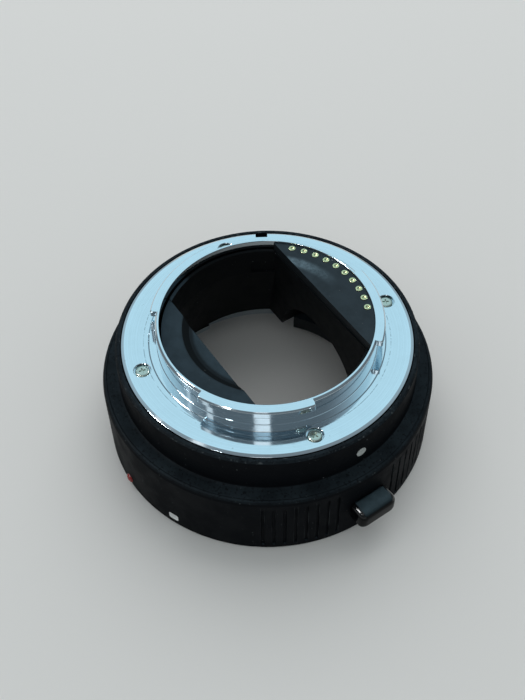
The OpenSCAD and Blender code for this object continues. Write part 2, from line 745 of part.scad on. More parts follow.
module front_contact_block() color(plastic) difference() {
    ring_sector(front_block_in_r, front_block_r, front_block_z, front_flex_z,
        270 - front_block_half, 270 + front_block_half);
    for (i = [1:front_pin_n]) at(front_pin_angle(i), front_pin_r, front_block_z - 1) {
        cylinder(d = front_pin_d + 2 * run_gap, h = 2 + front_pin_bore_l, $fn = small_fn);
        translate([0, 0, 1 + front_pin_bore_l])
            cylinder(d = collar_d + 2 * run_gap, h = 10, $fn = small_fn);
    }
    for (side = [-1, 1]) at(270 + side * front_block_screw_half, front_pin_r, front_block_z - 1) {
        cylinder(d = small_screw_d + 2 * fit_gap, h = 10, $fn = small_fn);
        cylinder(d = small_head_d + head_gap, h = 1 + front_block_recess, $fn = small_fn);
    }
}

module front_block_screws() color(steel) for (side = [-1, 1])
    at(270 + side * front_block_screw_half, front_pin_r, front_block_z + front_block_recess)
        mirror([0, 0, 1])
        screw(small_head_d, small_head_h, small_screw_d, front_block_screw_l);

module front_pin(i) color(gold) at(front_pin_angle(i), front_pin_r, 0) {
    translate([0, 0, front_block_z - front_pin_out])
        cylinder(d1 = front_pin_d - 0.4, d2 = front_pin_d, h = 0.2, $fn = small_fn);
    translate([0, 0, front_block_z - front_pin_out + 0.2])
        cylinder(d = front_pin_d, h = front_pin_out - 0.2 + collar_z - front_block_z + eps, $fn = small_fn);
    translate([0, 0, collar_z]) cylinder(d = collar_d, h = collar_t, $fn = small_fn);
}

module pin_spring(i) color(steel) at(front_pin_angle(i), front_pin_r, collar_z + collar_t)
    coil(pin_spring_r, pin_wire_d, front_flex_z - collar_z - collar_t, 3, 12, 6);

// Circuit board, chips and flexible strips
module circuit_board() color([0.05, 0.25, 0.14]) difference() {
    ring_sector(board_in_r, board_r, board_z, board_top,
        board_mid - board_half_angle, board_mid + board_half_angle);
    for (side = [-1, 1]) at(board_mid + side * board_post_half, board_post_circle, board_z - 1)
        cylinder(d = small_screw_d + 2 * fit_gap, h = 4, $fn = small_fn);
}

module board_screws() color(steel) for (side = [-1, 1])
    at(board_mid + side * board_post_half, board_post_circle, board_top)
        screw(small_head_d, small_head_h - 0.1, small_screw_d, board_t + board_lift + 0.6);

module chip(angle, radius, length, width, height) {
    at(angle, radius, board_top) translate([-length / 2, -width / 2, 0]) cube([length, width, height]);
}

module processor_chip() color(black) chip(processor_angle, chip_r + 0.4, chip_w, chip_w, chip_h);

module power_chip() color(black) chip(power_angle, chip_r + 0.6, power_w, power_w + 0.4, chip_h - 0.1);

module flex_connector() color(white)
    chip(board_mid, connector_in_r + connector_l / 2, connector_l, connector_w, connector_t);

module rear_flex() color([0.75, 0.45, 0.12]) translate([-flex_w / 2, 0, 0]) {
    translate([0, -rear_flex_y - flex_t, board_top + connector_t])
        cube([flex_w, flex_t, block_bottom - board_top - connector_t]);
    translate([0, -connector_in_r - connector_l, board_top + connector_t])
        cube([flex_w, connector_in_r + connector_l - rear_flex_y, flex_t]);
}

module front_flex() color([0.75, 0.45, 0.12]) {
    difference() {
        ring_sector(front_flex_in_r, front_flex_out_r, front_flex_z, flange_z,
            270 - front_block_half + 1, 270 + front_block_half - 1);
        for (side = [-1, 1]) at(270 + side * front_block_screw_half, front_pin_r, front_flex_z - 1)
            cylinder(d = small_screw_d + 2 * fit_gap, h = 3, $fn = small_fn);
    }
    ring_sector(front_flex_out_r - 0.1, flex_up_r + flex_t, front_flex_z, flange_z,
        flex_up_angle - flex_up_half, flex_up_angle + flex_up_half);
    ring_sector(flex_up_r, flex_up_r + flex_t, front_flex_z, board_z,
        flex_up_angle - flex_up_half, flex_up_angle + flex_up_half);
}

// Release: lever outside, carrier and lock pin inside, spring on the tail of the pin
module rounded_face(width, height, corner) {
    translate([-width / 2 + corner, -height / 2]) square([width - 2 * corner, height]);
    translate([-width / 2, -height / 2 + corner]) square([width, height - 2 * corner]);
    for (x = [-1, 1], y = [-1, 1])
        translate([x * (width / 2 - corner), y * (height / 2 - corner)]) circle(r = corner, $fn = small_fn);
}

module release_lever() color([0.02, 0.02, 0.025]) rotate([0, 0, lever_angle]) difference() {
    union() {
        translate([barrel_r - 1, 0, lever_z]) rotate([90, 0, 90])
            linear_extrude(1 + lever_reach - 0.8) rounded_face(lever_w, lever_h, lever_corner);
        translate([barrel_r + lever_reach - 0.8, 0, lever_z]) rotate([90, 0, 90])
            linear_extrude(0.8) rounded_face(lever_w - 1.2, lever_h - 1.2, lever_corner * 0.6);
        translate([carrier_out_x, -stem_w / 2, lever_screw_z - stem_h / 2])
            cube([barrel_r - carrier_out_x + 1, stem_w, stem_h]);
    }
    difference() {
        translate([0, 0, -1]) cylinder(r = lever_in_r, h = barrel_h);
        translate([0, -stem_w / 2, lever_screw_z - stem_h / 2]) cube([reach, stem_w, stem_h]);
    }
    for (side = [-1, 1]) translate([carrier_out_x - 1, side * lever_screw_y, lever_screw_z]) rotate([0, 90, 0])
        cylinder(d = small_screw_d, h = 3, $fn = small_fn);
}

module release_carrier() color(steel) rotate([0, 0, lever_angle]) difference() {
    translate([carrier_in_x, -carrier_w / 2, carrier_z])
        cube([carrier_out_x - carrier_in_x, carrier_w, carrier_h]);
    translate([circle_r, 0, carrier_z - 1])
        cylinder(d = lock_pin_d + 2 * fit_gap, h = carrier_h + 2, $fn = small_fn);
    for (side = [-1, 1]) translate([carrier_in_x - 1, side * lever_screw_y, lever_screw_z]) rotate([0, 90, 0]) {
        cylinder(d = small_screw_d + 2 * fit_gap, h = 10, $fn = small_fn);
        cylinder(d = lever_head_d + 0.1, h = 1 + carrier_recess, $fn = small_fn);
    }
}

module lever_screws() color(steel) rotate([0, 0, lever_angle]) for (side = [-1, 1])
    translate([carrier_in_x + carrier_recess, side * lever_screw_y, lever_screw_z]) rotate([0, -90, 0])
        screw(lever_head_d, small_head_h - 0.1, small_screw_d, carrier_out_x - carrier_in_x + 1.1);

module lock_pin() color(nickel) at(lever_angle, circle_r, 0) {
    cylinder(d1 = lock_pin_d - 0.5, d2 = lock_pin_d, h = 0.25, $fn = small_fn);
    translate([0, 0, 0.25]) cylinder(d = lock_pin_d, h = lock_spring_z - 0.25 + eps, $fn = small_fn);
    translate([0, 0, carrier_z - stop_collar_t])
        cylinder(d = stop_collar_d, h = stop_collar_t, $fn = small_fn);
    translate([0, 0, lock_spring_z]) cylinder(d = lock_tail_d, h = lock_tail_l, $fn = small_fn);
}

module lock_spring() color(steel) at(lever_angle, circle_r, lock_spring_z)
    coil(lock_spring_r, lock_wire_d, seat_z - lock_spring_z, 5, 16, 8);

// Index marks, each let into the wall behind it
module lens_index_bead() color("red") {
    curve_r = (bead_d * bead_d / 4 + bead_rise * bead_rise) / (2 * bead_rise);
    dome = [for (k = [0:bead_steps])
        let (r = bead_d / 2 * (1 - k / bead_steps))
        [r, bead_seat + bead_rise - curve_r + sqrt(curve_r * curve_r - r * r)]];
    at(90, barrel_r - bead_seat, bead_z) rotate([0, 90, 0])
        rotate_extrude() polygon(concat([[0, 0], [bead_d / 2, 0]], dome));
}

module lens_index_square() color(white) at(square_angle, barrel_r - mark_seat, square_z)
    translate([0, -square_w / 2, -square_w / 2]) cube([mark_seat + 0.1, square_w, square_w]);

module camera_index_dot() color(white) at(lever_angle, neck_r - mark_seat, dot_z)
    rotate([0, 90, 0]) cylinder(d = dot_d, h = mark_seat + 0.08, $fn = small_fn);

front_barrel();
rear_housing();
housing_screws();
rear_mount_ring();
rear_mount_screws();
bayonet_stop_pin();
rear_contact_block();
rear_block_screws();
for (i = [1:rear_contact_n]) rear_contact(i);
light_baffle();
baffle_screws();
front_mount_ring();
front_mount_screws();
for (i = [1:3]) leaf_spring(i);
front_contact_block();
front_block_screws();
for (i = [1:front_pin_n]) front_pin(i);
for (i = [1:front_pin_n]) pin_spring(i);
circuit_board();
board_screws();
processor_chip();
power_chip();
flex_connector();
rear_flex();
front_flex();
release_lever();
release_carrier();
lever_screws();
lock_pin();
lock_spring();
lens_index_bead();
lens_index_square();
camera_index_dot();
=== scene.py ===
"""Looks for a lens mount adapter, laid out as a Blender add-on and run as a script."""
import math

import bmesh
import bpy
from bpy.props import FloatProperty, FloatVectorProperty, PointerProperty
from mathutils import Matrix, Vector


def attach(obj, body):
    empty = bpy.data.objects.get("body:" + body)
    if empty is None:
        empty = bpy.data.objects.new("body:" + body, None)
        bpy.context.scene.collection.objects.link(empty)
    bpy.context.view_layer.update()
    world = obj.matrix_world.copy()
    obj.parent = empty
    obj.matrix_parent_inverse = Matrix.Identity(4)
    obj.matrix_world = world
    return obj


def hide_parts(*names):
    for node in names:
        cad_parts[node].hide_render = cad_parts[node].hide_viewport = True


bl_info = {
    "name": "Lens mount adapter",
    "version": (1, 0, 0),
    "blender": (4, 5, 0),
    "location": "3D View > Sidebar > Adapter",
    "description": "Dresses the lens mount adapter with its turned, moulded and plated pieces",
    "category": "Object",
}

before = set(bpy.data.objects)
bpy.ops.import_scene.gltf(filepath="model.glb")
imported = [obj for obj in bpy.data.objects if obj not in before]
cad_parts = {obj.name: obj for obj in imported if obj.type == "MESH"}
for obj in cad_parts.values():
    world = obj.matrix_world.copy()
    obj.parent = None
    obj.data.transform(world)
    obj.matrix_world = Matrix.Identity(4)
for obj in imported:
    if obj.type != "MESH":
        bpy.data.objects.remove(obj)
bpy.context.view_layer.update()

MM = 0.001
# Sizes in millimetres and angles in degrees, in the adapter's own frame
BORE_R = 21.8
TUBE_R = 22.65
TAB_R = 23.9
TOP_Z = 31.4
TAB_Z = 29.85
REAR_Z = 26.0
PLATE_Z = 24.4
FLANGE_R = 30.0
TAB_SPANS = ((220.5, 270.5), (112.5, 169.5), (355.5, 412.0))
NOTCH_ANGLE = 329
REAR_SCREWS = [(76.5 + 90 * k, 26.6) for k in range(4)]
BARREL_R = 34.9
LEVER_ANGLE = 182.0
LEVER_W = 8.8
LEVER_SHIFT = -0.3
LEVER_H = 5.2
LEVER_REACH = 4.0
LEVER_Z = 8.0
LEVER_SLOT = (31.2, -3.6, 5.7), (37, 3.6, 10.3)
LEVER_STEM = (32.6, -3.3, 7.3), (36.5, 3.3, 9.5)
CONTACT_COUNT = 10
CONTACT_R = 20.7
CONTACT_Z = 31.05
CONTACT_STEP = 7.37
CONTACT_FIRST = 278.2 - 4.5 * CONTACT_STEP
HEAD_R = 1.45
HEAD_H = 0.75
REAR_SCREW_Z = 25.15
FRONT_SCREW_R = 30.6
GROOVE_PITCH = 3.6
GROOVE_STARTS = ((144.8, 8), (192.5, 16))
GROOVE_LOW = 1.5
GROOVE_HIGH = 14.7
# Radii of the flange's groove and of its turned step; each also gets a dark painted shade line.
FLANGE_GROOVE_R = 24.3
FLANGE_LINE_R = 25.35
# Radius of the shelf's groove, where the painted top light thins to a painted shade, and the Y above which that
# light is painted.
SHELF_GROOVE_R = 16.2
SHELF_SIDE_Y = 6.0

# Colour of dust on the dark pieces
DUST = (0.3, 0.33, 0.34, 1)
# Height of the point that the lamps face, in metres
AIM_Z = 0.02
# Direction of the bright side of the studio
SKY_SIDE = (0.54, -0.34, 0.77)
# Camera that was fitted to the photo, in metres and degrees
CAMERA_PLACE = (-0.11721, 0.07586, 0.19094)
CAMERA_FORWARD = (0.5356, -0.3412, -0.7725)
CAMERA_ROLL = -1.104
FOCAL_LENGTH = 54.1
SENSOR_WIDTH = 36.0
# Half width of the floor in metres, and where it fades to white for the camera in millimetres
FLOOR_HALF = 12.0
FADE_NEAR = 150.0
FADE_FAR = 900.0


def sky_place(turn, rise, away=0.6):
    """Place of a lamp from its angle round the axis and its height angle in degrees, in metres."""
    turn, rise = math.radians(turn), math.radians(rise)
    level = away * math.cos(rise)
    return level * math.cos(turn), level * math.sin(turn), away * math.sin(rise) + AIM_Z


# Lamps: name, place, size in metres, brightness, and what they light, which is matt faces, shiny ones or both
LAMPS = (
    ("Key light", sky_place(-32, 52, 0.75), (0.95, 0.8), 1.05, "matt"),
    ("Strip light", sky_place(141, 50), (0.1, 0.3), 1.05, "both"),
    ("Side light", sky_place(84, 50), (0.045, 0.3), 0.75, "both"),
    ("Thin light", sky_place(57, 50), (0.03, 0.3), 0.4, "both"),
    ("Glint light", sky_place(67, 33), (0.12, 0.2), 34.0, "shiny"),
    ("Spark light", sky_place(112, 36), (0.05, 0.05), 40.0, "shiny"),
)
# Strength of the even light from all round
DOME = 0.5


# Meshes


def polar(angle, radius, z=0.0):
    """Point in millimetres at an angle in degrees."""
    return Vector((radius * math.cos(math.radians(angle)), radius * math.sin(math.radians(angle)), z))


def rounded(corners, steps=4, lip=0.05):
    """Closed (r, z) outline from (r, z, radius) corners. Every corner gives the same number of points."""
    outline = []
    count = len(corners)
    for k, (r, z, radius) in enumerate(corners):
        here = Vector((r, z))
        before = Vector(corners[k - 1][:2]) - here
        after = Vector(corners[(k + 1) % count][:2]) - here
        reach = min(before.length, after.length) * 0.45
        before.normalize()
        after.normalize()
        half = before.angle(after, math.pi) / 2
        if half > math.radians(88) or radius <= 0:
            near = min(0.01, reach)
            for s in range(steps + 3):
                t = (s / (steps + 2) - 0.5) * 2 * near
                outline.append(here + (after * t if t > 0 else -before * t))
            continue
        tangent = min(radius / math.tan(half), reach)
        radius = tangent * math.tan(half)
        centre = here + (before + after).normalized() * (radius / math.sin(half))
        start = here + before * tangent - centre
        sweep = math.pi - 2 * half
        finish = here + after * tangent - centre
        turn = -1 if start.x * finish.y - start.y * finish.x < 0 else 1
        outline.append(here + before * min(tangent + lip, reach * 1.1))
        for s in range(steps + 1):
            outline.append(centre + Matrix.Rotation(turn * sweep * s / steps, 2) @ start)
        outline.append(here + after * min(tangent + lip, reach * 1.1))
    return outline


def turned(rings, close=True):
    """Mesh of closed outlines, each a list of points in millimetres, joined one to the next."""
    bm = bmesh.new()
    rows = [[bm.verts.new(p * MM) for p in ring] for ring in rings]
    size = len(rows[0])
    pairs = zip(rows, rows[1:] + rows[:1]) if close else zip(rows, rows[1:])
    for a, b in pairs:
        for k in range(size):
            m = (k + 1) % size
            bm.faces.new((a[k], b[k], b[m], a[m]))
    if not close:
        bm.faces.new(rows[0])
        bm.faces.new(list(reversed(rows[-1])))
    return bm


def revolve(outline, angles):
    """Turns one (r, z) outline round the Z axis."""
    return turned([[polar(a, p[0], p[1]) for p in outline] for a in angles])


def even_angles(count):
    """Angles in degrees that share a full turn evenly."""
    return [360 * k / count for k in range(count)]


def round_cutter(corners, angle, radius, sides=40):
    """Stepped round cutter from (r, z) points that start and end on its axis."""
    bm = bmesh.new()
    place = Matrix.Rotation(math.radians(angle), 4, "Z") @ Matrix.Translation((radius, 0, 0))
    rows = []
    for r, z in corners[1:-1]:
        rows.append([bm.verts.new((place @ polar(360 * s / sides, r, z)) * MM) for s in range(sides)])
    for a, b in zip(rows, rows[1:]):
        for s in range(sides):
            bm.faces.new((a[s], a[(s + 1) % sides], b[(s + 1) % sides], b[s]))
    bm.faces.new(rows[0])
    bm.faces.new(list(reversed(rows[-1])))
    return bm


def box_cutter(angle, low, high):
    """Box between two corners in millimetres, turned round the axis."""
    bm = bmesh.new()
    bmesh.ops.create_cube(bm, size=1)
    low, high = Vector(low), Vector(high)
    for v in bm.verts:
        v.co = (low + high) / 2 + Vector(c * s for c, s in zip(v.co, high - low))
    place = Matrix.Scale(MM, 4) @ Matrix.Rotation(math.radians(angle), 4, "Z")
    bmesh.ops.transform(bm, matrix=place, verts=bm.verts)
    return bm


def mesh_object(bm, name, sharp=32):
    """Object at the origin from a bmesh, smooth but for its sharp edges."""
    bmesh.ops.remove_doubles(bm, verts=bm.verts, dist=1e-7)
    bmesh.ops.recalc_face_normals(bm, faces=bm.faces)
    mesh = bpy.data.meshes.new(name)
    bm.to_mesh(mesh)
    bm.free()
    mesh.shade_smooth()
    mesh.set_sharp_from_angle(angle=math.radians(sharp))
    made = bpy.data.objects.new(name, mesh)
    bpy.context.scene.collection.objects.link(made)
    return made


def settle(made, sharp=32):
    """Applies the object's modifiers to its mesh."""
    seen = made.evaluated_get(bpy.context.evaluated_depsgraph_get())
    mesh = bpy.data.meshes.new_from_object(seen)
    mesh.name = made.name
    made.modifiers.clear()
    made.data = mesh
    mesh.shade_smooth()
    mesh.set_sharp_from_angle(angle=math.radians(sharp))
    return made


def cut_away(made, cutters, sharp=32, operation="DIFFERENCE"):
    """Cuts each cutter from the object, or joins it on with the operation UNION."""
    for k, bm in enumerate(cutters):
        tool = mesh_object(bm, f"cutter_{k}")
        step = made.modifiers.new("cut", "BOOLEAN")
        step.operation = operation
        step.solver = "EXACT"
        step.object = tool
        settle(made, sharp)
        bpy.data.objects.remove(tool)
    return made


def dress(made, material, body, slot, *nodes):
    """Gives a piece its material and body, and hides the CAD nodes that it stands for. The slot is not used."""
    made.data.materials.clear()
    made.data.materials.append(material)
    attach(made, body)
    if nodes:
        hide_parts(*nodes)
    return made


def paint_node(node, material):
    """Gives a CAD node its material."""
    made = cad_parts[node]
    made.data.materials.clear()
    made.data.materials.append(material)


# Shader groups


def new_group(name, inputs, outputs):
    """Empty shader group with its named sockets, and its input and output nodes."""
    tree = bpy.data.node_groups.new(name, "ShaderNodeTree")
    for label, default in inputs:
        socket = tree.interface.new_socket(label, in_out="INPUT", socket_type="NodeSocketFloat")
        socket.default_value = default
    for label in outputs:
        tree.interface.new_socket(label, in_out="OUTPUT", socket_type="NodeSocketFloat")
    return tree, tree.nodes.new("NodeGroupInput"), tree.nodes.new("NodeGroupOutput")


class Wiring:
    """Short calls that add and join nodes in one tree."""

    def __init__(self, tree):
        self.tree = tree

    def node(self, kind, **values):
        made = self.tree.nodes.new(kind)
        for key, value in values.items():
            if hasattr(made, key):
                setattr(made, key, value)
        return made

    def join(self, a, b):
        self.tree.links.new(a, b)

    def feed(self, socket, value):
        if isinstance(value, bpy.types.NodeSocket):
            self.join(value, socket)
        else:
            socket.default_value = value

    def math(self, operation, a, b=0.0, c=0.0, clamp=False):
        made = self.node("ShaderNodeMath", operation=operation, use_clamp=clamp)
        for socket, value in zip(made.inputs, (a, b, c)):
            self.feed(socket, value)
        return made.outputs[0]

    def spread(self, value, low, high, to_low=0.0, to_high=1.0):
        """Maps a value from one range to another, smoothly."""
        made = self.node("ShaderNodeMapRange", interpolation_type="SMOOTHSTEP")
        for socket, v in zip(made.inputs, (value, low, high, to_low, to_high)):
            self.feed(socket, v)
        return made.outputs[0]

    def noise(self, vector, scale, detail=2.0, rough=0.5):
        made = self.node("ShaderNodeTexNoise")
        self.join(vector, made.inputs["Vector"])
        self.feed(made.inputs["Scale"], scale)
        self.feed(made.inputs["Detail"], detail)
        self.feed(made.inputs["Roughness"], rough)
        return made.outputs["Fac"]

    def mix(self, amount, a, b):
        made = self.node("ShaderNodeMix", data_type="RGBA")
        for index, value in ((0, amount), (6, a), (7, b)):
            self.feed(made.inputs[index], value)
        return made.outputs[2]

    def place(self):
        """Object coordinates in millimetres."""
        where = self.node("ShaderNodeTexCoord")
        scale = self.node("ShaderNodeVectorMath", operation="SCALE")
        self.join(where.outputs["Object"], scale.inputs[0])
        scale.inputs["Scale"].default_value = 1 / MM
        return scale.outputs[0]

    def cylinder(self, vector):
        """Radius and height of a place, in millimetres."""
        parts = self.node("ShaderNodeSeparateXYZ")
        self.join(vector, parts.inputs[0])
        across = self.math("MULTIPLY", parts.outputs[0], parts.outputs[0])
        along = self.math("MULTIPLY", parts.outputs[1], parts.outputs[1])
        return self.math("SQRT", self.math("ADD", across, along)), parts.outputs[2]


def group_dust():
    """Small pale specks, scattered in loose patches."""
    tree, given, out = new_group("Dust specks", (("Spacing", 1.0), ("Size", 0.12), ("Amount", 0.5)), ("Mask",))
    w = Wiring(tree)
    place = w.place()
    cells = w.node("ShaderNodeTexVoronoi", feature="F1")
    w.join(place, cells.inputs["Vector"])
    w.join(w.math("DIVIDE", 1.0, given.outputs["Spacing"]), cells.inputs["Scale"])
    parts = w.node("ShaderNodeSeparateColor")
    w.join(cells.outputs["Color"], parts.inputs[0])
    reach = w.math("MULTIPLY", parts.outputs[0], given.outputs["Size"])
    speck = w.math("LESS_THAN", cells.outputs["Distance"], reach)
    kept = w.math("LESS_THAN", parts.outputs[1], given.outputs["Amount"])
    patch = w.spread(w.noise(place, 0.22, 3.0), 0.38, 0.62)
    w.join(w.math("MULTIPLY", w.math("MULTIPLY", speck, kept), patch), out.inputs["Mask"])
    return tree


def group_grain():
    """Fine even grain of a moulded or sprayed surface, with slow smudges."""
    tree, given, out = new_group("Surface grain", (("Scale", 6.0), ("Smudge", 0.25)), ("Height", "Smudge"))
    w = Wiring(tree)
    place = w.place()
    w.join(w.noise(place, given.outputs["Scale"], 3.0, 0.6), out.inputs["Height"])
    w.join(w.spread(w.noise(place, given.outputs["Smudge"], 4.0, 0.62), 0.3, 0.72), out.inputs["Smudge"])
    return tree


def group_rim_line():
    """Mask of a broken line along one round edge, from its radius and height. It marks rubbed paint and painted edge
    sheen on the black pieces, and painted shade on the flange.
    """
    inputs = (("Radius", 30.0), ("Height", 0.0), ("Width", 0.25), ("Breakup", 0.5))
    tree, given, out = new_group("Rim wear", inputs, ("Mask",))
    w = Wiring(tree)
    place = w.place()
    radius, height = w.cylinder(place)
    a = w.math("SUBTRACT", radius, given.outputs["Radius"])
    b = w.math("SUBTRACT", height, given.outputs["Height"])
    away = w.math("SQRT", w.math("ADD", w.math("MULTIPLY", a, a), w.math("MULTIPLY", b, b)))
    near = w.math("SUBTRACT", 1.0, w.math("DIVIDE", away, given.outputs["Width"]), clamp=True)
    broken = w.math("SUBTRACT", w.noise(place, 0.9, 5.0, 0.7), given.outputs["Breakup"])
    w.join(w.math("MULTIPLY", near, w.spread(broken, -0.05, 0.12)), out.inputs["Mask"])
    return tree


def group_turning():
    """Fine turning marks that run round the axis."""
    tree, given, out = new_group("Turning marks", (("Pitch", 0.12),), ("Height", "Patch"))
    w = Wiring(tree)
    place = w.place()
    radius, height = w.cylinder(place)
    join = w.node("ShaderNodeCombineXYZ")
    w.join(radius, join.inputs[0])
    w.join(height, join.inputs[1])
    scale = w.math("DIVIDE", 1.0, given.outputs["Pitch"])
    w.join(w.noise(join.outputs[0], scale, 2.0, 0.7), out.inputs["Height"])
    w.join(w.spread(w.noise(place, 0.35, 5.0, 0.6), 0.35, 0.7), out.inputs["Patch"])
    return tree


GROUPS = {}


def shared(name):
    """The named shader group, built at its first use."""
    makers = {"dust": group_dust, "grain": group_grain, "rim_line": group_rim_line, "turning": group_turning}
    if name not in GROUPS:
        GROUPS[name] = makers[name]()
    return GROUPS[name]


def new_material(name):
    """Node material, with short calls for its nodes and its shader."""
    made = bpy.data.materials.new(name)
    made.use_nodes = True
    w = Wiring(made.node_tree)
    return made, w, made.node_tree.nodes["Principled BSDF"]


def use_group(w, name, **values):
    """Places a shared shader group with its own values."""
    made = w.node("ShaderNodeGroup")
    made.node_tree = shared(name)
    for key, value in values.items():
        made.inputs[key].default_value = value
    return made


def bumped(w, shader, height, strength, distance):
    """Lets a height stir the surface."""
    bump = w.node("ShaderNodeBump")
    w.join(height, bump.inputs["Height"])
    bump.inputs["Strength"].default_value = strength
    bump.inputs["Distance"].default_value = distance
    w.join(bump.outputs["Normal"], shader.inputs["Normal"])


def facing_up(w, low, high):
    """Mask of the faces that look up in the adapter's own frame."""
    where = w.node("ShaderNodeTexCoord")
    parts = w.node("ShaderNodeSeparateXYZ")
    w.join(where.outputs["Normal"], parts.inputs[0])
    return w.spread(parts.outputs[2], low, high)


def black_paint(name, colour, rubbed_and_sheen_rims, roughness=0.56):
    """Sprayed satin black with a pebbled grain. What looks up gets a pale bluish film in patches, painted light from
    above with dust in it; each given rim gets a lighter line, rubbed paint and on the housing's rim next to the
    flange painted edge sheen.
    """
    made, w, shader = new_material(name)
    grain = use_group(w, "grain", Scale=9.0, Smudge=0.16)
    pebble = use_group(w, "grain", Scale=1.9, Smudge=0.5)
    dust = use_group(w, "dust", Spacing=0.8, Size=0.2, Amount=0.22)
    fine = use_group(w, "dust", Spacing=0.4, Size=0.2, Amount=0.16)
    # Pale bluish film on what looks up, in patches: painted light from above, with dust in it.
    up = facing_up(w, 0.3, 0.95)
    lit = w.spread(pebble.outputs["Height"], 0.33, 0.46, 0.15, 1.0)
    smudged = w.math("MULTIPLY_ADD", grain.outputs["Smudge"], 0.6, 0.4)
    film = w.math("MULTIPLY", w.math("MULTIPLY", up, smudged), lit)
    shade = w.mix(w.math("MULTIPLY", film, 0.17), (*colour, 1), (0.09, 0.135, 0.165, 1))
    specks = w.math("MAXIMUM", dust.outputs[0], fine.outputs[0])
    shade = w.mix(w.math("MULTIPLY", specks, 0.22), shade, DUST)
    # Lighter line along each given rim: rubbed paint, and painted edge sheen on the housing's rim next to the
    # flange; the grip grooves' edges get rubbed paint too.
    rubbed_and_sheen = 0.0
    for radius, height, width, breakup in rubbed_and_sheen_rims:
        rim = use_group(w, "rim_line", Radius=radius, Height=height, Width=width, Breakup=breakup)
        rubbed_and_sheen = w.math("MAXIMUM", rim.outputs[0], rubbed_and_sheen)
    edge = w.node("ShaderNodeAttribute", attribute_name="groove_edge")
    streaks = w.node("ShaderNodeVectorMath", operation="MULTIPLY")
    w.join(w.place(), streaks.inputs[0])
    streaks.inputs[1].default_value = (1.0, 1.0, 0.22)
    chipped = w.spread(w.noise(streaks.outputs[0], 0.9, 4.0, 0.7), 0.44, 0.66)
    rubbed_and_sheen = w.math("MAXIMUM", rubbed_and_sheen, w.math("MULTIPLY", w.math("MULTIPLY", edge.outputs["Fac"], 0.4), chipped))
    shade = w.mix(w.math("MULTIPLY", rubbed_and_sheen, 0.5), shade, (0.2, 0.23, 0.24, 1))
    w.join(shade, shader.inputs["Base Color"])
    gloss = w.spread(grain.outputs["Smudge"], 0.0, 1.0, roughness - 0.08, roughness + 0.08)
    w.join(w.math("ADD", gloss, w.math("MULTIPLY", specks, 0.3)), shader.inputs["Roughness"])
    shader.inputs["Specular IOR Level"].default_value = 0.03
    height = w.math("ADD", w.math("MULTIPLY", grain.outputs["Height"], 0.3), pebble.outputs["Height"])
    bumped(w, shader, height, 0.35, 0.00005)
    return made


def plated(name, colour, roughness, pitch=0.12, strength=0.12, stain=(0.5, 0.52, 0.53), shade_lines=()):
    """Plated metal with fine turning marks, small stains and specks, and a dark painted shade line at each given
    edge.
    """
    made, w, shader = new_material(name)
    turning = use_group(w, "turning", Pitch=pitch)
    dust = use_group(w, "dust", Spacing=1.3, Size=0.16, Amount=0.35)
    dull, dark = (tuple(c * share for c in colour) + (1,) for share in (0.8, 0.5))
    shade = w.mix(w.math("MULTIPLY", turning.outputs["Patch"], 0.12), (*colour, 1), dull)
    scratch = w.spread(turning.outputs["Height"], 0.3, 0.7, 0.0, 0.16)
    shade = w.mix(scratch, shade, dark)
    shade = w.mix(w.math("MULTIPLY", dust.outputs[0], 0.55), shade, (*stain, 1))
    # Dark line at each given edge: painted shade of the flange's groove and of its turned step.
    for radius, height, width, breakup in shade_lines:
        line = use_group(w, "rim_line", Radius=radius, Height=height, Width=width, Breakup=breakup)
        shade = w.mix(w.math("MULTIPLY", line.outputs[0], 0.7), shade, (0.06, 0.075, 0.085, 1))
    w.join(shade, shader.inputs["Base Color"])
    shader.inputs["Metallic"].default_value = 1.0
    gloss = w.spread(turning.outputs["Patch"], 0.0, 1.0, roughness, roughness + 0.06)
    w.join(gloss, shader.inputs["Roughness"])
    bumped(w, shader, turning.outputs["Height"], strength, 0.000006)
    return made


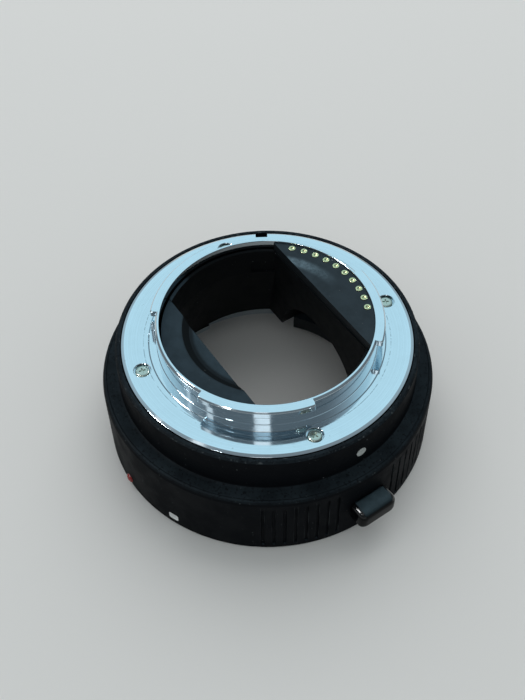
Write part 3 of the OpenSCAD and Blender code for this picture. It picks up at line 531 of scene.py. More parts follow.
def moulded(name, colour, roughness, film, specular=0.4, top_light_and_dust=0.0, top_light_side=None, smear=None):
    """Moulded plastic with a fine grain, smudges, a little dust, and a pale bluish film on what looks up: painted
    light from above, with dust in it.

    The painted top light may keep to Y above a given place, and it thins out at the shelf's groove, a painted shade
    there.
    A smear is an arc of dust: its radius, half width and ends in X."""
    made, w, shader = new_material(name)
    grain = use_group(w, "grain", Scale=7.0, Smudge=0.3)
    dust = use_group(w, "dust", Spacing=0.9, Size=0.16, Amount=0.4)
    pale = tuple(min(1, c * 2.2 + 0.004) for c in colour)
    shade = w.mix(w.math("MULTIPLY", grain.outputs["Smudge"], film), (*colour, 1), (*pale, 1))
    if top_light_and_dust:
        # Pale bluish film on what looks up: painted light from above, with dust in it.
        smudged = w.math("MULTIPLY_ADD", grain.outputs["Smudge"], 0.35, 0.65)
        up = w.math("MULTIPLY", facing_up(w, 0.86, 0.98), smudged)
        parts = w.node("ShaderNodeSeparateXYZ")
        w.join(w.place(), parts.inputs[0])
        if top_light_side is not None:
            up = w.math("MULTIPLY", up, w.spread(parts.outputs[1], top_light_side, top_light_side + 2.0))
            radius, _height = w.cylinder(w.place())
            # At the shelf's groove the film thins to a fifth: painted shade in the groove.
            from_groove = w.math("ABSOLUTE", w.math("SUBTRACT", radius, SHELF_GROOVE_R))
            up = w.math("MULTIPLY", up, w.spread(from_groove, 0.7, 1.5, 0.2, 1.0))
        shade = w.mix(w.math("MULTIPLY", up, top_light_and_dust), shade, (0.05, 0.083, 0.108, 1))
        if smear:
            radius, _height = w.cylinder(w.place())
            across = w.math("DIVIDE", w.math("ABSOLUTE", w.math("SUBTRACT", radius, smear[0])), smear[1])
            ends = w.spread(parts.outputs[0], smear[2], smear[3])
            arc = w.math("MULTIPLY", w.spread(across, 1.0, 0.2), ends)
            streak = w.spread(w.noise(w.place(), 1.6, 5.0, 0.7), 0.3, 0.7, 0.35, 1.0)
            arc = w.math("MULTIPLY", w.math("MULTIPLY", arc, streak), up)
            shade = w.mix(arc, shade, (0.15, 0.23, 0.28, 1))
    shade = w.mix(w.math("MULTIPLY", dust.outputs[0], 0.2), shade, DUST)
    w.join(shade, shader.inputs["Base Color"])
    gloss = w.spread(grain.outputs["Smudge"], 0.0, 1.0, roughness - 0.05, roughness + 0.08)
    w.join(gloss, shader.inputs["Roughness"])
    shader.inputs["Specular IOR Level"].default_value = specular
    bumped(w, shader, grain.outputs["Height"], 0.2, 0.00002)
    return made


def glossy(name, colour, film):
    """Polished black moulding with a clear shine at its ends; where it looks up it is dull and paler, a handling
    film with painted light from above.
    """
    made, w, shader = new_material(name)
    grain = use_group(w, "grain", Scale=2.5, Smudge=0.5)
    dust = use_group(w, "dust", Spacing=0.7, Size=0.12, Amount=0.25)
    where = w.node("ShaderNodeTexCoord")
    parts = w.node("ShaderNodeSeparateXYZ")
    w.join(where.outputs["Normal"], parts.inputs[0])
    front = w.spread(w.math("ABSOLUTE", parts.outputs[1]), 0.12, 0.4, 1.0, 0.0)
    smudged = w.math("MULTIPLY_ADD", grain.outputs["Smudge"], 0.3, 0.7)
    # Paler film on what looks up, away from the ends: a handling film with painted light from above.
    up = w.math("MULTIPLY", w.math("MULTIPLY", w.spread(parts.outputs[2], 0.4, 1.02), smudged), front)
    shade = w.mix(up, (*colour, 1), (*film, 1))
    shade = w.mix(w.math("MULTIPLY", dust.outputs[0], 0.2), shade, DUST)
    w.join(shade, shader.inputs["Base Color"])
    w.join(w.math("MULTIPLY_ADD", up, 0.3, 0.07), shader.inputs["Roughness"])
    ends = w.math("SUBTRACT", 1.0, front)
    w.join(w.math("MULTIPLY", ends, w.spread(parts.outputs[2], 0.25, 0.55)), shader.inputs["Coat Weight"])
    shader.inputs["Coat Roughness"].default_value = 0.17
    shader.inputs["Specular IOR Level"].default_value = 0.07
    bumped(w, shader, grain.outputs["Height"], 0.08, 0.00001)
    return made


def enamel(name, colour, roughness=0.3):
    """Filled enamel, slightly rubbed."""
    made, w, shader = new_material(name)
    grain = use_group(w, "grain", Scale=3.0, Smudge=0.8)
    darker = tuple(c * 0.72 for c in colour)
    w.join(w.mix(grain.outputs["Smudge"], (*colour, 1), (*darker, 1)), shader.inputs["Base Color"])
    gloss = w.spread(grain.outputs["Smudge"], 0.0, 1.0, roughness, roughness + 0.2)
    w.join(gloss, shader.inputs["Roughness"])
    bumped(w, shader, grain.outputs["Height"], 0.15, 0.00001)
    return made


MATERIALS = {}


def looks():
    """All materials of the adapter, built once from the colours in the panel."""
    if MATERIALS:
        return MATERIALS
    tones = bpy.context.scene.adapter_tones
    nickel, black, slate, gold = (tuple(getattr(tones, k)) for k in ("nickel", "black", "slate", "gold"))
    MATERIALS.update(
        barrel=black_paint("Barrel paint", black, [(34.8, 0.3, 0.4, 0.5), (34.7, 16.7, 0.3, 0.62)]),
        # The housing's rim line next to the flange is painted edge sheen; its outer rim line is rubbed paint.
        housing=black_paint("Housing paint", black, [(31.1, 25.5, 0.3, 0.57), (30.3, 25.7, 0.15, 0.6)]),
        # The flange's two dark lines are painted shade, in its groove and at its turned step.
        nickel=plated("Bright nickel", nickel, 0.05, shade_lines=[(FLANGE_GROOVE_R, REAR_Z, 0.17, 0.0),
                                                            (FLANGE_LINE_R, REAR_Z, 0.12, 0.46)]),
        front_nickel=plated("Turned nickel", nickel, 0.16, 0.2, 0.3),
        screw=plated("Screw nickel", (0.56, 0.6, 0.52), 0.2, 0.3, 0.05),
        steel=plated("Plain steel", (0.4, 0.42, 0.43), 0.32, 0.2, 0.2),
        spring=plated("Spring steel", (0.6, 0.6, 0.61), 0.25, 0.3, 0.1),
        gold=plated("Gold plate", gold, 0.2, 0.3, 0.05, (0.5, 0.42, 0.25)),
        # Block and baffle take a pale film on what looks up: painted light from above, with dust.
        block=moulded("Slate moulding", tuple(c * 0.3 for c in slate), 0.4, 0.3, 0.12, top_light_and_dust=0.3,
                      smear=(17.0, 1.7, -0.5, 9.5)),
        baffle=moulded("Matt black moulding", tuple(c * 0.1 for c in slate), 0.5, 0.2, 0.08, top_light_and_dust=0.55,
                       top_light_side=SHELF_SIDE_Y),
        # The lever's pale top colour is painted light from above over a handling film.
        lever=glossy("Gloss black moulding", (0.002, 0.0025, 0.003), (0.044, 0.07, 0.085)),
        white=enamel("White enamel", (0.8, 0.82, 0.82)),
        dot=enamel("Dulled enamel", (0.4, 0.43, 0.43), 0.45),
        red=enamel("Red enamel", (0.3, 0.012, 0.01), 0.12),
        board=moulded("Solder mask", (0.01, 0.1, 0.05), 0.35, 0.2),
        chip=moulded("Chip package", (0.02, 0.02, 0.021), 0.5, 0.2),
        film=moulded("Amber film", (0.45, 0.2, 0.04), 0.3, 0.2),
    )
    return MATERIALS


# Pieces


def tab_reach(angle):
    """How far the bayonet stands out at an angle, from 0 to 1, with the corners of the tabs rounded."""
    corner, reach = 0.4, TAB_R - TUBE_R
    for first, last in TAB_SPANS:
        for turn in (0, 360):
            a = angle + turn
            if first <= a <= last:
                arc = math.radians(min(a - first, last - a)) * TAB_R
                if arc >= corner:
                    return 1.0
                if arc < 0.005:
                    return 0.0
                return (reach - corner + math.sqrt(corner ** 2 - (corner - arc) ** 2)) / reach
    return 0.0


def bayonet_angles():
    """Angles at which the mount ring is built: even ones, and close ones at the ends of the tabs."""
    angles = {round(1.25 * k, 4) for k in range(288)}
    for first, last in TAB_SPANS:
        for end, way in ((first, 1), (last, -1)):
            fine = [-0.4, -0.02, 0.0, 0.02, 0.05, 0.1, 0.2, 0.35, 0.6, 0.96, 1.3]
            angles -= {a for a in angles if abs((a - end + 180) % 360 - 180) < 1.4}
            angles |= {round((end + way * f) % 360, 4) for f in fine}
    return sorted(angles)


def mount_ring_mesh(edge):
    """Flange plate, spigot, bayonet tube and its three tabs."""
    spigot, low = 24.0, 23.0
    groove, half, depth = FLANGE_GROOVE_R, 0.12, 0.08
    plate = [(BORE_R, low, edge), (spigot, low, edge), (spigot, PLATE_Z, 0), (FLANGE_R, PLATE_Z, edge),
             (FLANGE_R, 25.7, edge), (29.4, REAR_Z, edge), (groove + half, REAR_Z, 0),
             (groove, REAR_Z - depth, 0.02), (groove - half, REAR_Z, 0), (TUBE_R, REAR_Z, 0.12)]
    plain = [(TUBE_R, TAB_Z, 0), (TUBE_R, TAB_Z + 0.2, 0), (TUBE_R, 30.97, 0.25), (22.23, TOP_Z, 0.2),
             (BORE_R, TOP_Z, edge * 1.4)]
    tabbed = [(TUBE_R, TAB_Z, 0.06), (TAB_R, TAB_Z, edge), (TAB_R, 31.12, 0.12), (23.62, TOP_Z, 0.12),
              (BORE_R, TOP_Z, edge * 1.4)]
    without, with_tab = rounded(plate + plain), rounded(plate + tabbed)
    rings = []
    for angle in bayonet_angles():
        share = tab_reach(angle)
        rings.append([polar(angle, *a.lerp(b, share)) for a, b in zip(without, with_tab)])
    return turned(rings)


class ADAPTER_OT_mount_ring(bpy.types.Operator):
    """Build the bright camera mount: flange, bayonet tube and tabs"""
    bl_idname = "adapter.mount_ring"
    bl_label = "Camera mount ring"

    def execute(self, context):
        sizes = context.scene.adapter_sizes
        made = mesh_object(mount_ring_mesh(sizes.edge_round / MM), "camera_mount_ring")
        cutters = []
        for angle, radius in REAR_SCREWS:
            seat = [(0, 27), (2.0, 27), (1.82, 26.001), (1.7, 25.88), (1.7, REAR_SCREW_Z),
                    (0.75, REAR_SCREW_Z), (0.75, 22), (0, 22)]
            cutters.append(round_cutter(seat, angle, radius))
        cutters.append(box_cutter(NOTCH_ANGLE, (28.5, -1.3, 23), (32, 1.3, 27)))
        cut_away(made, cutters)
        dress(made, looks()["nickel"], "housing", "bright_nickel", "rear_mount_ring")
        paint_node("bayonet_stop_pin", looks()["nickel"])
        return {"FINISHED"}


def groove_angles():
    """Angles of the grip grooves, on both sides of the lever and mirrored on the hidden side."""
    found = [first + GROOVE_PITCH * k for first, count in GROOVE_STARTS for k in range(count)]
    return sorted({round(a % 360, 4) for a in found + [180 - a for a in found]})


def barrel_mesh(sizes):
    """Barrel with its grip grooves, from outlines with and without a groove at close angles."""
    width, depth, edge = sizes.groove_width / MM, sizes.groove_depth / MM, sizes.edge_round / MM * 1.5
    half = math.degrees(width / 2 / BARREL_R)
    rim = [(BARREL_R, 15.95, 0.4), (34.74, 16.5, 0.35), (34.46, 16.88, 0.3), (34.2, 17.04, 0.2)]
    inner = [(34.03, 17.08, 0.04), (34.05, 15.7, 0), (33.2, 15.7, 0), (33.2, 5.4, 0.2), (28.0, 5.4, 0),
             (28.0, 3.0, 0), (32.45, 3.0, 0), (32.45, 0.1, edge)]

    def outline(drop):
        wall = [(34.5, 0.1, 0.12), (BARREL_R, 0.5, 0.25), (BARREL_R, GROOVE_LOW, 0),
                (BARREL_R - drop, GROOVE_LOW + depth * 0.6, 0.05),
                (BARREL_R - drop, GROOVE_HIGH - depth * 0.6, 0.05), (BARREL_R, GROOVE_HIGH, 0)]
        return rounded(wall + rim + inner)

    plain, sunk = outline(0.0), outline(depth)
    stops = {}
    grooves = groove_angles()
    for a in grooves:
        for offset, share in ((-1.25, 0), (-1, 0), (-0.72, 1), (0, 1), (0.72, 1), (1, 0), (1.25, 0)):
            stops[round((a + offset * half) % 360, 4)] = share
    for a in (round(1.2 * k, 4) for k in range(300)):
        if all(abs((a - g + 180) % 360 - 180) > half * 1.6 for g in grooves):
            stops[a] = 0
    return turned([[polar(a, *p.lerp(q, stops[a])) for p, q in zip(plain, sunk)] for a in sorted(stops)])


def mark_groove_edges(made, width):
    """Point attribute that is 1 on the long edges of the grip grooves."""
    half = math.degrees(width / 2 / BARREL_R)
    grooves = groove_angles()
    layer = made.data.attributes.new("groove_edge", "FLOAT", "POINT")
    for vertex, value in zip(made.data.vertices, layer.data):
        x, y, z = vertex.co / MM
        if math.hypot(x, y) > BARREL_R - 0.1 and GROOVE_LOW - 0.1 < z < GROOVE_HIGH + 0.1:
            angle = math.degrees(math.atan2(y, x)) % 360
            away = min(abs((angle - g + 180) % 360 - 180) for g in grooves)
            value.value = 1.0 if abs(away - half) < half * 0.1 else 0.0


class ADAPTER_OT_barrel(bpy.types.Operator):
    """Build the black front barrel with its grip grooves"""
    bl_idname = "adapter.barrel"
    bl_label = "Front barrel"

    def execute(self, context):
        made = mesh_object(barrel_mesh(context.scene.adapter_sizes), "grip_barrel")
        cut_away(made, [box_cutter(LEVER_ANGLE, *LEVER_SLOT)])
        mark_groove_edges(made, context.scene.adapter_sizes.groove_width / MM)
        dress(made, looks()["barrel"], "housing", "black_metal", "front_barrel")
        return {"FINISHED"}


class ADAPTER_OT_housing(bpy.types.Operator):
    """Build the black rear housing: rim, neck and shoulder"""
    bl_idname = "adapter.housing"
    bl_label = "Rear housing"

    def execute(self, context):
        edge = context.scene.adapter_sizes.edge_round / MM * 1.4
        neck = [(30.2, PLATE_Z, 0), (30.2, 25.7, edge), (30.85, 25.7, 0.15), (31.3, 25.25, 0.25),
                (31.3, 17.75, 0.2)]
        shoulder = [(31.42, 17.45, 0.2), (31.9, 17.3, 0.3), (33.6, 17.12, 0.2), (33.96, 17.06, 0.03)]
        inner = [(34.0, 15.7, 0), (29.5, 15.7, 0), (29.5, 20.2, 0), (24.05, 20.2, 0), (24.05, PLATE_Z, 0)]
        body = revolve(rounded(neck + shoulder + inner), even_angles(288))
        for angle in (90, 210, 330):
            post = round_cutter([(0, 5.4), (1.6, 5.4), (1.6, 15.8), (0, 15.8)], angle, 30.6)
            copy = bpy.data.meshes.new("post")
            post.to_mesh(copy)
            post.free()
            body.from_mesh(copy)
            bpy.data.meshes.remove(copy)
        made = mesh_object(body, "neck_housing")
        dress(made, looks()["housing"], "housing", "black_metal", "rear_housing")
        return {"FINISHED"}


def ring_of_copies(name, unit, material, count, radius, height, first, step, spin, flip=False):
    """Copies of one mesh set round the axis by Geometry Nodes, as one plain mesh.

    Radius and height are in millimetres. Each copy turns by the spin against the one before it."""
    values = {"Count": count, "Radius": radius * MM, "Height": height * MM, "First angle": math.radians(first),
              "Step angle": math.radians(step), "Spin": math.radians(spin)}
    tree = bpy.data.node_groups.new(name + " layout", "GeometryNodeTree")
    tree.interface.new_socket("Geometry", in_out="OUTPUT", socket_type="NodeSocketGeometry")
    ids = {}
    for label in values:
        kind = "NodeSocketInt" if label == "Count" else "NodeSocketFloat"
        ids[label] = tree.interface.new_socket(label, in_out="INPUT", socket_type=kind).identifier
    add, join, calc = tree.nodes.new, tree.links.new, Wiring(tree).math
    given, out = add("NodeGroupInput"), add("NodeGroupOutput")
    points = add("GeometryNodePoints")
    join(given.outputs["Count"], points.inputs["Count"])
    index = add("GeometryNodeInputIndex").outputs[0]
    angle = calc("ADD", given.outputs["First angle"], calc("MULTIPLY", index, given.outputs["Step angle"]))
    place = add("ShaderNodeCombineXYZ")
    join(calc("MULTIPLY", given.outputs["Radius"], calc("COSINE", angle, 0.0)), place.inputs[0])
    join(calc("MULTIPLY", given.outputs["Radius"], calc("SINE", angle, 0.0)), place.inputs[1])
    join(given.outputs["Height"], place.inputs[2])
    join(place.outputs[0], points.inputs["Position"])
    info = add("GeometryNodeObjectInfo")
    info.inputs["Object"].default_value = unit
    spread = add("GeometryNodeInstanceOnPoints")
    join(points.outputs[0], spread.inputs["Points"])
    join(info.outputs["Geometry"], spread.inputs["Instance"])
    turn = add("ShaderNodeCombineXYZ")
    turn.inputs[0].default_value = math.pi if flip else 0.0
    join(calc("ADD", angle, calc("MULTIPLY", index, given.outputs["Spin"])), turn.inputs[2])
    join(turn.outputs[0], spread.inputs["Rotation"])
    real = add("GeometryNodeRealizeInstances")
    join(spread.outputs[0], real.inputs[0])
    coat = add("GeometryNodeSetMaterial")
    coat.inputs["Material"].default_value = material
    join(real.outputs[0], coat.inputs["Geometry"])
    join(coat.outputs[0], out.inputs["Geometry"])
    made = bpy.data.objects.new(name, bpy.data.meshes.new(name))
    bpy.context.scene.collection.objects.link(made)
    layer = made.modifiers.new("layout", "NODES")
    layer.node_group = tree
    for label, value in values.items():
        layer[ids[label]] = value
    settle(made, 40)
    bpy.data.objects.remove(unit)
    return made


def cross_screw(shank_l):
    """Round-headed screw with a cross recess, its seat at z 0."""
    head_r, head_h, shank_r = HEAD_R, HEAD_H, 0.7
    bm = round_cutter([(0, -shank_l), (shank_r, -shank_l), (shank_r, 0), (head_r - 0.04, 0), (head_r, 0.04),
                       (head_r, head_h * 0.5), (head_r * 0.94, head_h * 0.72), (head_r * 0.8, head_h * 0.9),
                       (head_r * 0.55, head_h * 0.98), (head_r * 0.2, head_h), (0, head_h)], 0, 0, 36)
    made = mesh_object(bm, "screw_unit", 40)
    reach, wide, tip = head_r * 0.62, head_r * 0.12, head_r * 0.08
    blades = []
    for angle in (0, 90):
        turn = Matrix.Rotation(math.radians(angle), 3, "Z")
        blade = bmesh.new()
        rows = []
        for x, y, z in ((reach, wide, head_h + 0.2), (reach * 0.45, tip, head_h - 0.3)):
            row = ((-x, -y, z), (x, -y, z), (x, y, z), (-x, y, z))
            rows.append([blade.verts.new((turn @ Vector(p)) * MM) for p in row])
        blade.faces.new(rows[0])
        blade.faces.new(list(reversed(rows[1])))
        for k in range(4):
            blade.faces.new((rows[0][k], rows[1][k], rows[1][(k + 1) % 4], rows[0][(k + 1) % 4]))
        blades.append(blade)
    return cut_away(made, blades, 40)


class ADAPTER_OT_mount_screws(bpy.types.Operator):
    """Set the four mount screws of each flange with Geometry Nodes"""
    bl_idname = "adapter.mount_screws"
    bl_label = "Mount screws"

    def execute(self, context):
        coat = looks()["screw"]
        first, radius = REAR_SCREWS[0]
        unit = cross_screw(4.4)
        made = ring_of_copies("camera_mount_screws", unit, coat, 4, radius, REAR_SCREW_Z, first, 90, 37)
        dress(made, coat, "housing", "screw_nickel", "rear_mount_screws")
        unit = cross_screw(4.1)
        made = ring_of_copies("lens_mount_screws", unit, coat, 4, FRONT_SCREW_R, 0.85, 45, 90, 29, True)
        dress(made, coat, "housing", "screw_nickel", "front_mount_screws")
        return {"FINISHED"}


class ADAPTER_OT_camera_contacts(bpy.types.Operator):
    """Set the ten dished camera contacts with Geometry Nodes"""
    bl_idname = "adapter.camera_contacts"
    bl_label = "Camera contacts"

    def execute(self, context):
        r = context.scene.adapter_sizes.contact_width / MM / 2
        stem = [(0, -2.15), (0.4, -2.15), (0.4, -0.3), (r, -0.3), (r, -0.06), (r - 0.05, -0.015),
                (r - 0.14, 0.0)]
        dish = [(r * 0.62, -0.01), (r * 0.5, -0.03), (r * 0.42, -0.1), (r * 0.34, -0.22), (r * 0.24, -0.27),
                (0.02, -0.28), (0, -0.28)]
        unit = mesh_object(round_cutter(stem + dish, 0, 0, 36), "contact_unit", 45)
        made = ring_of_copies("camera_contacts", unit, looks()["gold"], CONTACT_COUNT, CONTACT_R, CONTACT_Z,
                              CONTACT_FIRST, CONTACT_STEP, 0)
        nodes = [f"rear_contact_{k + 1}" for k in range(CONTACT_COUNT)]
        dress(made, looks()["gold"], "housing", "gold_plate", *nodes)
        return {"FINISHED"}


def rounded_rectangle(half_w, half_h, corner, steps):
    """Outline of a rectangle with rounded corners, as (across, up) points."""
    points = []
    for k, (side, rise) in enumerate(((1, 1), (-1, 1), (-1, -1), (1, -1))):
        for step in range(steps + 1):
            a = math.radians(90 * k + 90 * step / steps)
            points.append((side * (half_w - corner) + corner * math.cos(a),
                           rise * (half_h - corner) + corner * math.sin(a)))
    return points


def lever_section(inset, drop, corner):
    """Outline across the lever, drawn in at its ends by an inset and in height by a drop."""
    half_w, half_h = LEVER_W / 2 - inset, LEVER_H / 2 - drop
    return rounded_rectangle(half_w, half_h, min(max(corner - inset * 0.5, 0.35), half_h * 0.98), 10)


def lever_mesh():
    """Push lever: rounded block that hugs the barrel, with a soft outer end."""
    nose, side, corner, back = 1.7, 1.3, 1.3, BARREL_R + 0.3
    rings = []
    for depth, inset in ((0.0, 0.12), (0.12, 0.0), (0.5, 0.0)):
        section = lever_section(inset, inset, corner)
        rings.append([(math.sqrt(back ** 2 - y ** 2) + depth, y, z) for y, z in section])
    tip = BARREL_R + LEVER_REACH
    for step in range(13):
        a = math.radians(90 * step / 12)
        x = tip - nose + nose * math.sin(a)
        into = max(0.0, x - (tip - side))
        inset = side - math.sqrt(max(side ** 2 - into ** 2, 0.0))
        rings.append([(x, y, z) for y, z in lever_section(inset, nose * (1 - math.cos(a)), corner)])
    turn, place = Matrix.Rotation(math.radians(LEVER_ANGLE), 3, "Z"), Vector((0, LEVER_SHIFT, LEVER_Z))
    return turned([[turn @ (Vector(point) + place) for point in ring] for ring in rings], close=False)


class ADAPTER_OT_lever(bpy.types.Operator):
    """Build the gloss black release lever with its soft outer end, and finish what moves with it"""
    bl_idname = "adapter.lever"
    bl_label = "Release lever"

    def execute(self, context):
        made = mesh_object(lever_mesh(), "push_lever", 50)
        cut_away(made, [box_cutter(LEVER_ANGLE, *LEVER_STEM)], 50, "UNION")
        dress(made, looks()["lever"], "release", "gloss_black", "release_lever")
        for node in ("release_carrier", "lever_screws"):
            paint_node(node, looks()["steel"])
        paint_node("lock_pin", looks()["nickel"])
        return {"FINISHED"}


class ADAPTER_OT_mouldings(bpy.types.Operator):
    """Finish the baffle, both contact blocks and what they carry"""
    bl_idname = "adapter.mouldings"
    bl_label = "Mouldings"

    def execute(self, context):
        paint_node("light_baffle", looks()["baffle"])
        paint_node("rear_contact_block", looks()["block"])
        paint_node("front_contact_block", looks()["block"])
        for k in range(1, 9):
            paint_node(f"front_pin_{k}", looks()["gold"])
            paint_node(f"pin_spring_{k}", looks()["spring"])
        return {"FINISHED"}


class ADAPTER_OT_front_mount(bpy.types.Operator):
    """Finish the lens mount ring and its leaf springs"""
    bl_idname = "adapter.front_mount"
    bl_label = "Lens mount ring"

    def execute(self, context):
        paint_node("front_mount_ring", looks()["front_nickel"])
        for k in range(1, 4):
            paint_node(f"leaf_spring_{k}", looks()["spring"])
        return {"FINISHED"}


class ADAPTER_OT_inner_works(bpy.types.Operator):
    """Finish the screws, board and strips inside"""
    bl_idname = "adapter.inner_works"
    bl_label = "Inner works"

    def execute(self, context):
        for place in ("housing", "rear_block", "baffle", "front_block", "board"):
            paint_node(place + "_screws", looks()["steel"])
        paint_node("lock_spring", looks()["spring"])
        paint_node("circuit_board", looks()["board"])
        for node in ("processor_chip", "power_chip"):
            paint_node(node, looks()["chip"])
        paint_node("flex_connector", looks()["white"])
        for node in ("rear_flex", "front_flex"):
            paint_node(node, looks()["film"])
        return {"FINISHED"}


def square_mark_mesh(angle, z, width, height, corner):
    """Thin enamel patch with rounded corners that follows the barrel."""
    outline = rounded_rectangle(width / 2, height / 2, corner, 6)
    rings = []
    for rise, share in ((-0.3, 1.0), (0.015, 1.0), (0.035, 0.97), (0.04, 0.9), (0.04, 0.5)):
        rings.append([polar(angle - math.degrees(x * share / BARREL_R), BARREL_R + rise, z + y * share)
                      for x, y in outline])
    return turned(rings, close=False)


def bead_mesh(radius, rise, z):
    """Small dome let into the barrel on the index side."""
    points = [(0, -1.0), (radius, -1.0), (radius, 0.0)]
    turns = (math.radians(a) for a in range(10, 90, 10))
    points += [(radius * math.cos(a), rise * math.sin(a)) for a in turns]
    bm = round_cutter(points + [(0.02, rise), (0, rise)], 0, 0, 32)
    place = Matrix.Translation((0, BARREL_R * MM, z * MM)) @ Matrix.Rotation(math.radians(-90), 4, "X")
    bmesh.ops.transform(bm, matrix=place, verts=bm.verts)
    return bm


class ADAPTER_OT_marks(bpy.types.Operator):
    """Set the white square and the red bead, and finish the white dot"""
    bl_idname = "adapter.marks"
    bl_label = "Index marks"

    def execute(self, context):
        square = mesh_object(square_mark_mesh(112.8, 2.8, 2.3, 1.9, 0.5), "index_square", 40)
        dress(square, looks()["white"], "housing", "white_paint", "lens_index_square")
        bead = mesh_object(bead_mesh(1.05, 0.6, 2.3), "index_bead", 50)
        dress(bead, looks()["red"], "housing", "red_paint", "lens_index_bead")
        paint_node("camera_index_dot", looks()["dot"])
        return {"FINISHED"}


def soft_light(name, place, size, brightness, lights):
    """Flat lamp that faces the adapter, with a face as bright as a white sheet times its brightness."""
    lamp = bpy.data.lights.new(name, "AREA")
    lamp.shape = "RECTANGLE"
    lamp.size, lamp.size_y = size
    lamp.energy = brightness * math.pi * size[0] * size[1]
    made = bpy.data.objects.new(name, lamp)
    made.location = place
    made.visible_glossy = lights != "matt"
    made.visible_diffuse = lights != "shiny"
    made.rotation_euler = (Vector((0, 0, AIM_Z)) - Vector(place)).to_track_quat("-Z", "Y").to_euler()
    bpy.context.scene.collection.objects.link(made)


class ADAPTER_OT_stage(bpy.types.Operator):
    """Set the pale floor, the soft studio light and the camera"""
    bl_idname = "adapter.stage"
    bl_label = "Stage"

    def execute(self, context):
        scene = context.scene
        tones = scene.adapter_tones
        bm = bmesh.new()
        bmesh.ops.create_grid(bm, x_segments=2, y_segments=2, size=FLOOR_HALF)
        floor = mesh_object(bm, "floor")
        made, w, shader = new_material("Pale floor")
        shader.inputs["Base Color"].default_value = (*tones.floor, 1)
        shader.inputs["Roughness"].default_value = 0.9
        shader.inputs["Specular IOR Level"].default_value = 0.1
        path = w.node("ShaderNodeLightPath")
        away, _height = w.cylinder(w.place())
        white = w.node("ShaderNodeEmission")
        fade = w.node("ShaderNodeMixShader")
        far = w.spread(away, FADE_NEAR, FADE_FAR)
        w.join(w.math("MULTIPLY", far, path.outputs["Is Camera Ray"]), fade.inputs[0])
        w.join(shader.outputs[0], fade.inputs[1])
        w.join(white.outputs[0], fade.inputs[2])
        w.join(fade.outputs[0], made.node_tree.nodes["Material Output"].inputs["Surface"])
        floor.data.materials.append(made)
        world = bpy.data.worlds.new("Studio")
        scene.world = world
        world.use_nodes = True
        w = Wiring(world.node_tree)
        base = world.node_tree.nodes["Background"]
        path = w.node("ShaderNodeLightPath")
        mirror = w.math("MAXIMUM", path.outputs["Is Glossy Ray"], path.outputs["Is Transmission Ray"])
        where = w.node("ShaderNodeTexCoord")
        toward = w.node("ShaderNodeVectorMath", operation="DOT_PRODUCT")
        w.join(where.outputs["Generated"], toward.inputs[0])
        toward.inputs[1].default_value = SKY_SIDE
        soft = w.spread(toward.outputs["Value"], 0.4, 0.97, 0.2, 1.0)
        level = w.math("MULTIPLY_ADD", mirror, w.math("SUBTRACT", soft, DOME), DOME)
        w.join(w.math("MAXIMUM", level, path.outputs["Is Camera Ray"]), base.inputs["Strength"])
        sky = w.mix(w.spread(soft, 0.2, 0.9), (0.76, 0.89, 0.99, 1), (0.6, 0.87, 0.99, 1))
        shade = w.mix(mirror, (0.93, 0.99, 1.0, 1), sky)
        shade = w.mix(path.outputs["Is Camera Ray"], shade, (1, 1, 1, 1))
        w.join(shade, base.inputs["Color"])
        for lamp in LAMPS:
            soft_light(*lamp)
        lens = bpy.data.cameras.new("Camera")
        lens.lens, lens.sensor_width = FOCAL_LENGTH, SENSOR_WIDTH
        lens.clip_start, lens.clip_end = 0.01, 20
        camera = bpy.data.objects.new("Camera", lens)
        aim = Vector(CAMERA_FORWARD).normalized().to_track_quat("-Z", "Y").to_matrix().to_4x4()
        roll = Matrix.Rotation(math.radians(CAMERA_ROLL), 4, "Z")
        camera.matrix_world = Matrix.Translation(CAMERA_PLACE) @ aim @ roll
        scene.collection.objects.link(camera)
        scene.camera = camera
        scene.view_settings.view_transform = "Standard"
        return {"FINISHED"}


class AdapterSizes(bpy.types.PropertyGroup):
    """Sizes of the dressed pieces"""
    edge_round: FloatProperty(name="Edge rounding", description="Radius on the edges of the turned pieces",
                              default=0.09 * MM, unit="LENGTH", precision=5)
    groove_width: FloatProperty(name="Groove width", description="Width of a grip groove", default=0.7 * MM,
                                unit="LENGTH", precision=5)
    groove_depth: FloatProperty(name="Groove depth", description="Depth of a grip groove", default=0.35 * MM,
                                unit="LENGTH", precision=5)
    contact_width: FloatProperty(name="Contact width", description="Diameter of a camera contact", default=1.45 * MM,
                                 unit="LENGTH", precision=5)


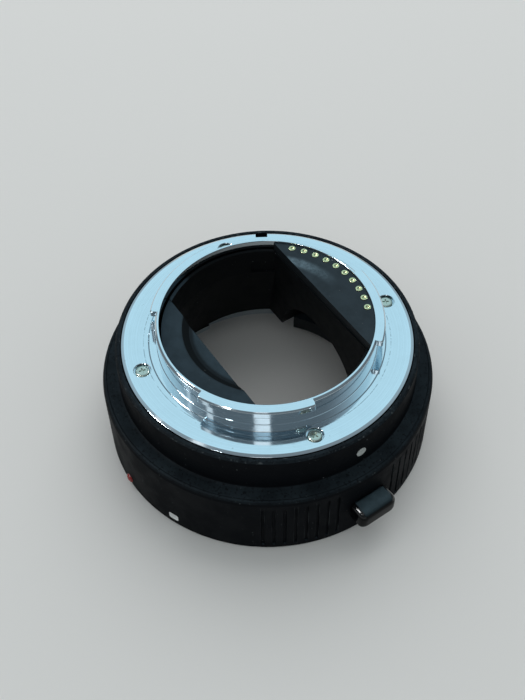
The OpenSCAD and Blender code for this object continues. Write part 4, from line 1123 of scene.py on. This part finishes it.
class AdapterTones(bpy.types.PropertyGroup):
    """Colours of the dressed pieces"""
    nickel: FloatVectorProperty(name="Nickel", description="Colour of the bright plated rings",
                                default=(0.72, 0.81, 0.86), subtype="COLOR", min=0, max=1)
    black: FloatVectorProperty(name="Black paint", description="Colour of the barrel and the housing",
                               default=(0.0035, 0.0045, 0.006), subtype="COLOR", min=0, max=1)
    slate: FloatVectorProperty(name="Slate moulding", description="Colour of the contact blocks",
                               default=(0.03, 0.04, 0.048), subtype="COLOR", min=0, max=1)
    gold: FloatVectorProperty(name="Gold plate", description="Colour of the contacts",
                              default=(0.7, 0.69, 0.4), subtype="COLOR", min=0, max=1)
    floor: FloatVectorProperty(name="Floor", description="Colour of the floor", default=(0.8, 0.8, 0.79),
                               subtype="COLOR", min=0, max=1)


PIECES = (ADAPTER_OT_stage, ADAPTER_OT_mount_ring, ADAPTER_OT_mount_screws, ADAPTER_OT_camera_contacts,
          ADAPTER_OT_housing, ADAPTER_OT_barrel, ADAPTER_OT_lever, ADAPTER_OT_mouldings, ADAPTER_OT_front_mount,
          ADAPTER_OT_inner_works, ADAPTER_OT_marks)


class ADAPTER_PT_panel(bpy.types.Panel):
    """Panel that lists the pieces and their sizes"""
    bl_idname = "ADAPTER_PT_panel"
    bl_label = "Lens mount adapter"
    bl_space_type = "VIEW_3D"
    bl_region_type = "UI"
    bl_category = "Adapter"

    def draw(self, context):
        column = self.layout.column()
        for group in (context.scene.adapter_sizes, context.scene.adapter_tones):
            for name in group.__annotations__:
                column.prop(group, name)
        for piece in PIECES:
            column.operator(piece.bl_idname)


CLASSES = (AdapterSizes, AdapterTones, *PIECES, ADAPTER_PT_panel)


def register():
    for kind in CLASSES:
        bpy.utils.register_class(kind)
    bpy.types.Scene.adapter_sizes = PointerProperty(type=AdapterSizes)
    bpy.types.Scene.adapter_tones = PointerProperty(type=AdapterTones)


def unregister():
    del bpy.types.Scene.adapter_sizes
    del bpy.types.Scene.adapter_tones
    for kind in reversed(CLASSES):
        bpy.utils.unregister_class(kind)


def main():
    register()
    for piece in PIECES:
        group, name = piece.bl_idname.split(".")
        getattr(getattr(bpy.ops, group), name)()


if __name__ == "__main__":
    main()
